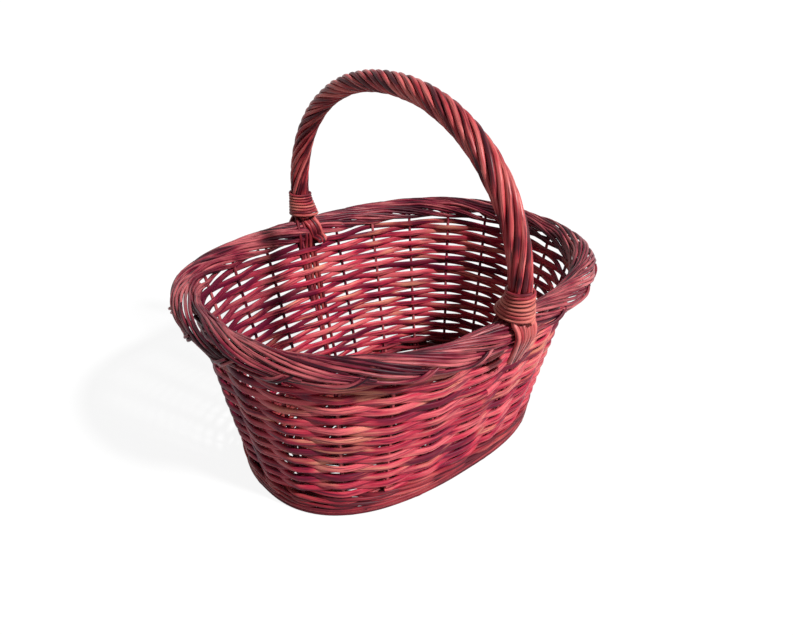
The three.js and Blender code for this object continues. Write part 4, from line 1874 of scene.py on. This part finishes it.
    def centre(self, share: float) -> tuple[Vector, Vector]:
        """Reads the handle's centre line.

        Args:
            share: The share of its length from the near foot.

        Returns:
            The point there and the line's direction.
        """
        target = min(max(share, 0.0), 1.0) * self.line_sums[-1]
        index = min(max(bisect_left(self.line_sums, target), 1), len(self.line) - 1)
        gap = self.line_sums[index] - self.line_sums[index - 1]
        part = (target - self.line_sums[index - 1]) / gap
        before, after = self.line[index - 1], self.line[index]
        ahead = self.line[min(index + self.direction_reach, len(self.line) - 1)]
        behind = self.line[max(index - 1 - self.direction_reach, 0)]
        return before.lerp(after, part), (ahead - behind).normalized()

    def around(self, share: float, angle: float, radius: float) -> Vector:
        """A place round the handle's centre line.

        Args:
            share: The share of the line's length from the near foot.
            angle: The angle round the line, 0 outward.
            radius: The distance from the line.

        Returns:
            The point.
        """
        point, tangent = self.centre(share)
        outward = ALONG.cross(tangent)
        return point + outward * radius * math.cos(angle) + ALONG * radius * math.sin(angle)

    def bundle(self, share: float) -> float:
        """The twisted bundle's outer radius at a share of the handle's length."""
        return self.outer_radius * table_value(self.girth, share, 1)

    def rod_radius(self, share: float) -> float:
        """A twisted rod's half thickness: as many rods as there are fill the bundle's rim."""
        fit = math.sin(math.pi / self.rod_count) * self.packing
        return self.bundle(share) * fit / (1 + fit)

    def slot_angle(self, slot: float) -> float:
        """The angle of a rod's place in the bundle."""
        return (slot + 0.5) * FULL_TURN / self.rod_count

    def foot_stations(self, side: int, slot: int) -> list[Vector]:
        """The way of a rod from the handle's foot over the border and along the wall.

        Args:
            side: -1 for the near foot and 1 for the far one.
            slot: The rod's place in the bundle there.

        Returns:
            The stations, from the border's top down.
        """
        form = self.form
        half = self.rod_count // 2
        is_left = slot < half
        from_middle = slot if is_left else self.rod_count - 1 - slot
        is_outer = from_middle < self.outer_pairs
        order = from_middle if is_outer else half - 1 - from_middle
        sideways = (1 if is_left else -1) * (order + 0.5) * self.bunch_pitch
        turns = self.outer_turns if is_outer else self.inner_turns
        drop = self.outer_drop if is_outer else self.inner_drop
        reach = self.roll_outer + self.rod_radius(0) + self.roll_gap
        slant = self.far_slant if side > 0 and not is_outer else 0.0
        stations = []
        for index, turn in enumerate(turns):
            angle = math.radians(turn)
            squeeze = 1 - self.squeeze * index / len(turns)
            stations.append(Vector((
                sideways * squeeze + slant * (index + 1) / (len(turns) + 1),
                side * (self.rim + form.ring_outward + reach * math.cos(angle)),
                form.border_height + form.ring_upward + reach * math.sin(angle),
            )))
        fall = drop + self.draws.uniform(-self.drop_scatter, self.drop_scatter) * MM
        sign = 1 if is_outer else -1
        stands = self.outer_stand if is_outer else self.inner_stand
        for part, stand in zip(self.last_parts, stands):
            height = form.border_height - fall * part
            wall = form.wall_oval(height).half_width
            along = sideways * mix(*self.last_spreads, part) + slant * (1 - self.slant_loss * part)
            if is_outer:
                along += self.outer_shift * part
            stations.append(Vector((along, side * (wall + sign * stand), height)))
        return stations

    def build(self) -> None:
        """Bends the bow, twists the rods round it and binds its feet."""
        self.add_piece("handle_bow", self.bow_rods(), self.core_finish, "handle_core")
        for order in range(self.rod_count):
            name = f"twisted_rod_{order + 1:02d}"
            self.add_piece(name, [self.twisted_rod(order)], self.finish, f"handle_rod_{order + 1:02d}")
        for side, name in ((-1, "near"), (1, "far")):
            rods = [self.binding(side)]
            self.add_piece(f"foot_binding_{name}", rods, self.binding_finish, f"binding_{name}")

    def twisted_rod(self, order: int) -> Rod:
        """One of the twisted rods, from its near end to its far end.

        Args:
            order: Its place in the bundle at the near foot.

        Returns:
            The rod.
        """
        near = list(reversed(self.foot_stations(-1, order)))
        far = self.foot_stations(1, (order + self.twist_in_rods) % self.rod_count)
        wander = self.draws.uniform(0, NOISE_SPAN)
        twisted = []
        for i in range(self.samples + 1):
            share = i / self.samples
            radius = self.bundle(share) - self.rod_radius(share)
            waver = noise.noise(Vector((wander, share * self.waver_rate, self.waver_slice)))
            ripple = noise.noise(Vector((wander, share * self.ripple_rate, self.ripple_slice)))
            free = smooth_step(share / self.free_share) * smooth_step((1 - share) / self.free_share)
            angle = self.slot_angle(order + self.turns[i] + self.waver * waver * free)
            twisted.append(self.around(share, angle, radius + self.ripple * ripple * free))
        points = smooth_route(near + twisted + far, self.step)
        first = sum((b - a).length for a, b in zip(near, near[1:]))
        last = sum((b - a).length for a, b in zip(far, far[1:]))
        whole = first + last + self.line_sums[-1] * self.twist_length
        scale = self.draws.uniform(*self.thickness_scatter)

        def radius_at(share: float) -> float:
            """The half thickness along the rod.

            Args:
                share: The share of its length.

            Returns:
                The half thickness there.
            """
            place = (share * whole - first) / (whole - first - last)
            taper = mix(self.butt_scale, self.tip_scale, share)
            return self.rod_radius(min(max(place, 0.0), 1.0)) * scale * taper

        return self.rod(points, radius_at)

    def bow_rods(self) -> list[Rod]:
        """The bow inside the twisted rods and the rods that carry its ends down into the wall.

        Returns:
            The rods, the bow first.
        """
        points = [self.centre(i / self.samples)[0] for i in range(self.samples + 1)]
        rods = [self.rod(points, lambda share: self.core_radius * table_value(self.girth, share, 1))]
        form = self.form
        feet = ((-1, form.near_share, self.near_tails), (1, form.far_share, self.far_tails))
        for side, share, tails in feet:
            for along, foot in zip(tails, self.tail_feet):
                rods.append(self.tail_rod(side, share + along / form.perimeter, foot))
        return rods

    def tail_rod(self, side: int, share: float, foot: float) -> Rod:
        """A rod that stands in the wall and goes through the border into the handle's foot.

        Args:
            side: -1 for the near foot and 1 for the far one.
            share: Its place on the wall, as a share of the perimeter.
            foot: The height of its lower end.

        Returns:
            The rod.
        """
        form = self.form
        top = form.border_height - form.border_radius
        count = self.tail_stations
        stations = [form.wall_point(share, mix(foot, top, i / count)) for i in range(count + 1)]
        x = stations[-1].x
        for spread, inward, height in self.tail_bends:
            stations.append(Vector((x * spread, side * (self.rim - inward), form.border_height + height)))
        spread, inward, height = self.tail_end
        stations.append(Vector((x * spread, side * (self.reach - inward), self.foot + height)))
        points = smooth_route(stations, self.tail_step)
        return self.rod(points, lambda part: mix(self.tail_radius * self.tail_taper, self.tail_radius, part))

    def binding(self, side: int) -> Rod:
        """The rod wound round a foot of the handle, tight above and wide round the bunch below.

        Args:
            side: -1 for the near foot and 1 for the far one.

        Returns:
            The rod, from its lowest loop up.
        """
        count = self.loops * self.loop_steps
        height = self.foot - self.loops_below + (self.far_loops_rise if side > 0 else 0.0)
        snug = self.bundle(self.loop_share) + self.loop_radius + self.loop_gap
        points = []
        for i in range(count + 1):
            loops = i / self.loop_steps
            angle = loops * FULL_TURN
            widen = max(0.0, 1 - loops / self.wide_loops)
            x_half = snug + self.wide_x * widen
            y_half = snug + self.wide_y * widen
            y = side * (self.reach - self.wide_inward * widen + y_half * math.cos(angle))
            z = height + loops * self.loop_pitch - self.wide_sag * widen * math.cos(angle)
            points.append(Vector((x_half * math.sin(angle), y, z)))
        return self.rod(points, self.binding_radius)

    def binding_radius(self, share: float) -> float:
        """The half thickness at a share of a binding rod."""
        return self.loop_radius * mix(self.loop_butt_scale, self.loop_tip_scale, share)


# The studio


@dataclass
class Studio:
    """The camera at the photograph's view, one main light, pale surroundings and a pale floor."""

    azimuth: float = -39.6
    elevation: float = 25.7
    roll: float = -0.67
    distance: float = 722.1 * MM
    target: Vector = field(default_factory=lambda: Vector((0, 0, 170 * MM)))
    lens: float = 31.0
    sensor: float = 36.0
    shift_x: float = 0.0051
    shift_y: float = -0.035
    clip_start: float = 0.01
    floor_size: float = 30.0
    key_direction: Vector = field(default_factory=lambda: Vector((0.26, -1.0, 0.90)))
    key_strength: float = 5.4
    key_spread: float = math.radians(6)
    fill_level: float = 0.20
    floor_glow: float = 0.8
    floor_strength: float = 1.13
    floor_grey: float = 0.5
    clear_rays: tuple[str, ...] = ("Is Camera Ray", "Is Glossy Ray", "Is Transmission Ray")

    def build(self) -> None:
        """Sets the camera, the light, the world and the floor."""
        self.add_camera()
        self.add_key()
        self.add_world()
        self.add_floor()
        bpy.context.scene.view_settings.view_transform = "Standard"

    def add_camera(self) -> None:
        """Places the camera."""
        azimuth, elevation = math.radians(self.azimuth), math.radians(self.elevation)
        back = Vector((
            math.sin(azimuth) * math.cos(elevation),
            -math.cos(azimuth) * math.cos(elevation),
            math.sin(elevation),
        ))
        right = Vector((math.cos(azimuth), math.sin(azimuth), 0))
        frame_axes = Matrix((right, back.cross(right), back)).transposed()
        turn = Matrix.Rotation(math.radians(self.roll), 3, "Z")
        data = bpy.data.cameras.new("photo_camera")
        data.lens = self.lens
        data.sensor_width = self.sensor
        data.shift_x = self.shift_x
        data.shift_y = self.shift_y
        data.clip_start = self.clip_start
        camera = bpy.data.objects.new("photo_camera", data)
        place = Matrix.Translation(self.target + back * self.distance)
        camera.matrix_world = place @ (frame_axes @ turn).to_4x4()
        bpy.context.scene.collection.objects.link(camera)
        bpy.context.scene.camera = camera

    def add_key(self) -> None:
        """Adds the main light, which shines evenly from the right, in front and above."""
        data = bpy.data.lights.new("key_light", "SUN")
        data.energy = self.key_strength
        data.angle = self.key_spread
        lamp = bpy.data.objects.new("key_light", data)
        lamp.location = self.target + self.key_direction
        lamp.rotation_euler = self.key_direction.to_track_quat("Z", "Y").to_euler()
        bpy.context.scene.collection.objects.link(lamp)

    def add_world(self) -> None:
        """Makes the surroundings white to the camera and softer as light."""
        world = bpy.data.worlds.new("pale_surroundings")
        world.use_nodes = True
        tree = world.node_tree
        tree.nodes.clear()
        path = tree.nodes.new("ShaderNodeLightPath")
        rays = [Socket(tree, path.outputs[ray]) for ray in self.clear_rays]
        seen = sum(rays[1:], rays[0]).clamped()
        level = (seen * (1 - self.fill_level) + self.fill_level).clamped()
        background = tree.nodes.new("ShaderNodeBackground")
        background.inputs["Color"].default_value = (1, 1, 1, 1)
        tree.links.new(level.output, background.inputs["Strength"])
        output = tree.nodes.new("ShaderNodeOutputWorld")
        tree.links.new(background.outputs[0], output.inputs["Surface"])
        bpy.context.scene.world = world

    def add_floor(self) -> None:
        """Adds the pale floor, which is nearly white to the camera and keeps the shadow."""
        bpy.ops.object.select_all(action="DESELECT")
        bpy.ops.mesh.primitive_plane_add(size=self.floor_size, location=(0, 0, 0))
        floor = bpy.context.object
        floor.name = "pale_floor"
        bench = NodeBench("pale_floor")
        rays = [bench.add("ShaderNodeLightPath", out=ray) for ray in self.clear_rays]
        seen = sum(rays[1:], rays[0]).clamped()
        grey = (self.floor_grey, self.floor_grey, self.floor_grey, 1)
        matte = bench.add("ShaderNodeBsdfDiffuse", Color=grey)
        glow = bench.add("ShaderNodeEmission", Color=(1, 1, 1, 1), Strength=self.floor_strength)
        node = bench.tree.nodes.new("ShaderNodeMixShader")
        bench.tree.links.new((seen * self.floor_glow).output, node.inputs[0])
        bench.tree.links.new(matte.output, node.inputs[1])
        bench.tree.links.new(glow.output, node.inputs[2])
        bench.finish(Socket(bench.tree, node.outputs[0]))
        floor.data.materials.append(bench.material)


def main() -> None:
    """Builds the basket piece by piece and sets it in the studio."""
    logging.basicConfig(level=logging.INFO, format="%(name)s %(message)s")
    form = BasketForm()
    maker = RodMaker()
    materials: dict[str, bpy.types.Material] = {}
    Studio().build()
    for seed, kind in enumerate((Siding, Stakes, Wale, Foot, Base, Handle)):
        log.info("%s", kind.__name__)
        kind(form, maker, materials, random.Random(seed + 11)).build()
    maker.clear()


if __name__ == "__main__":
    main()
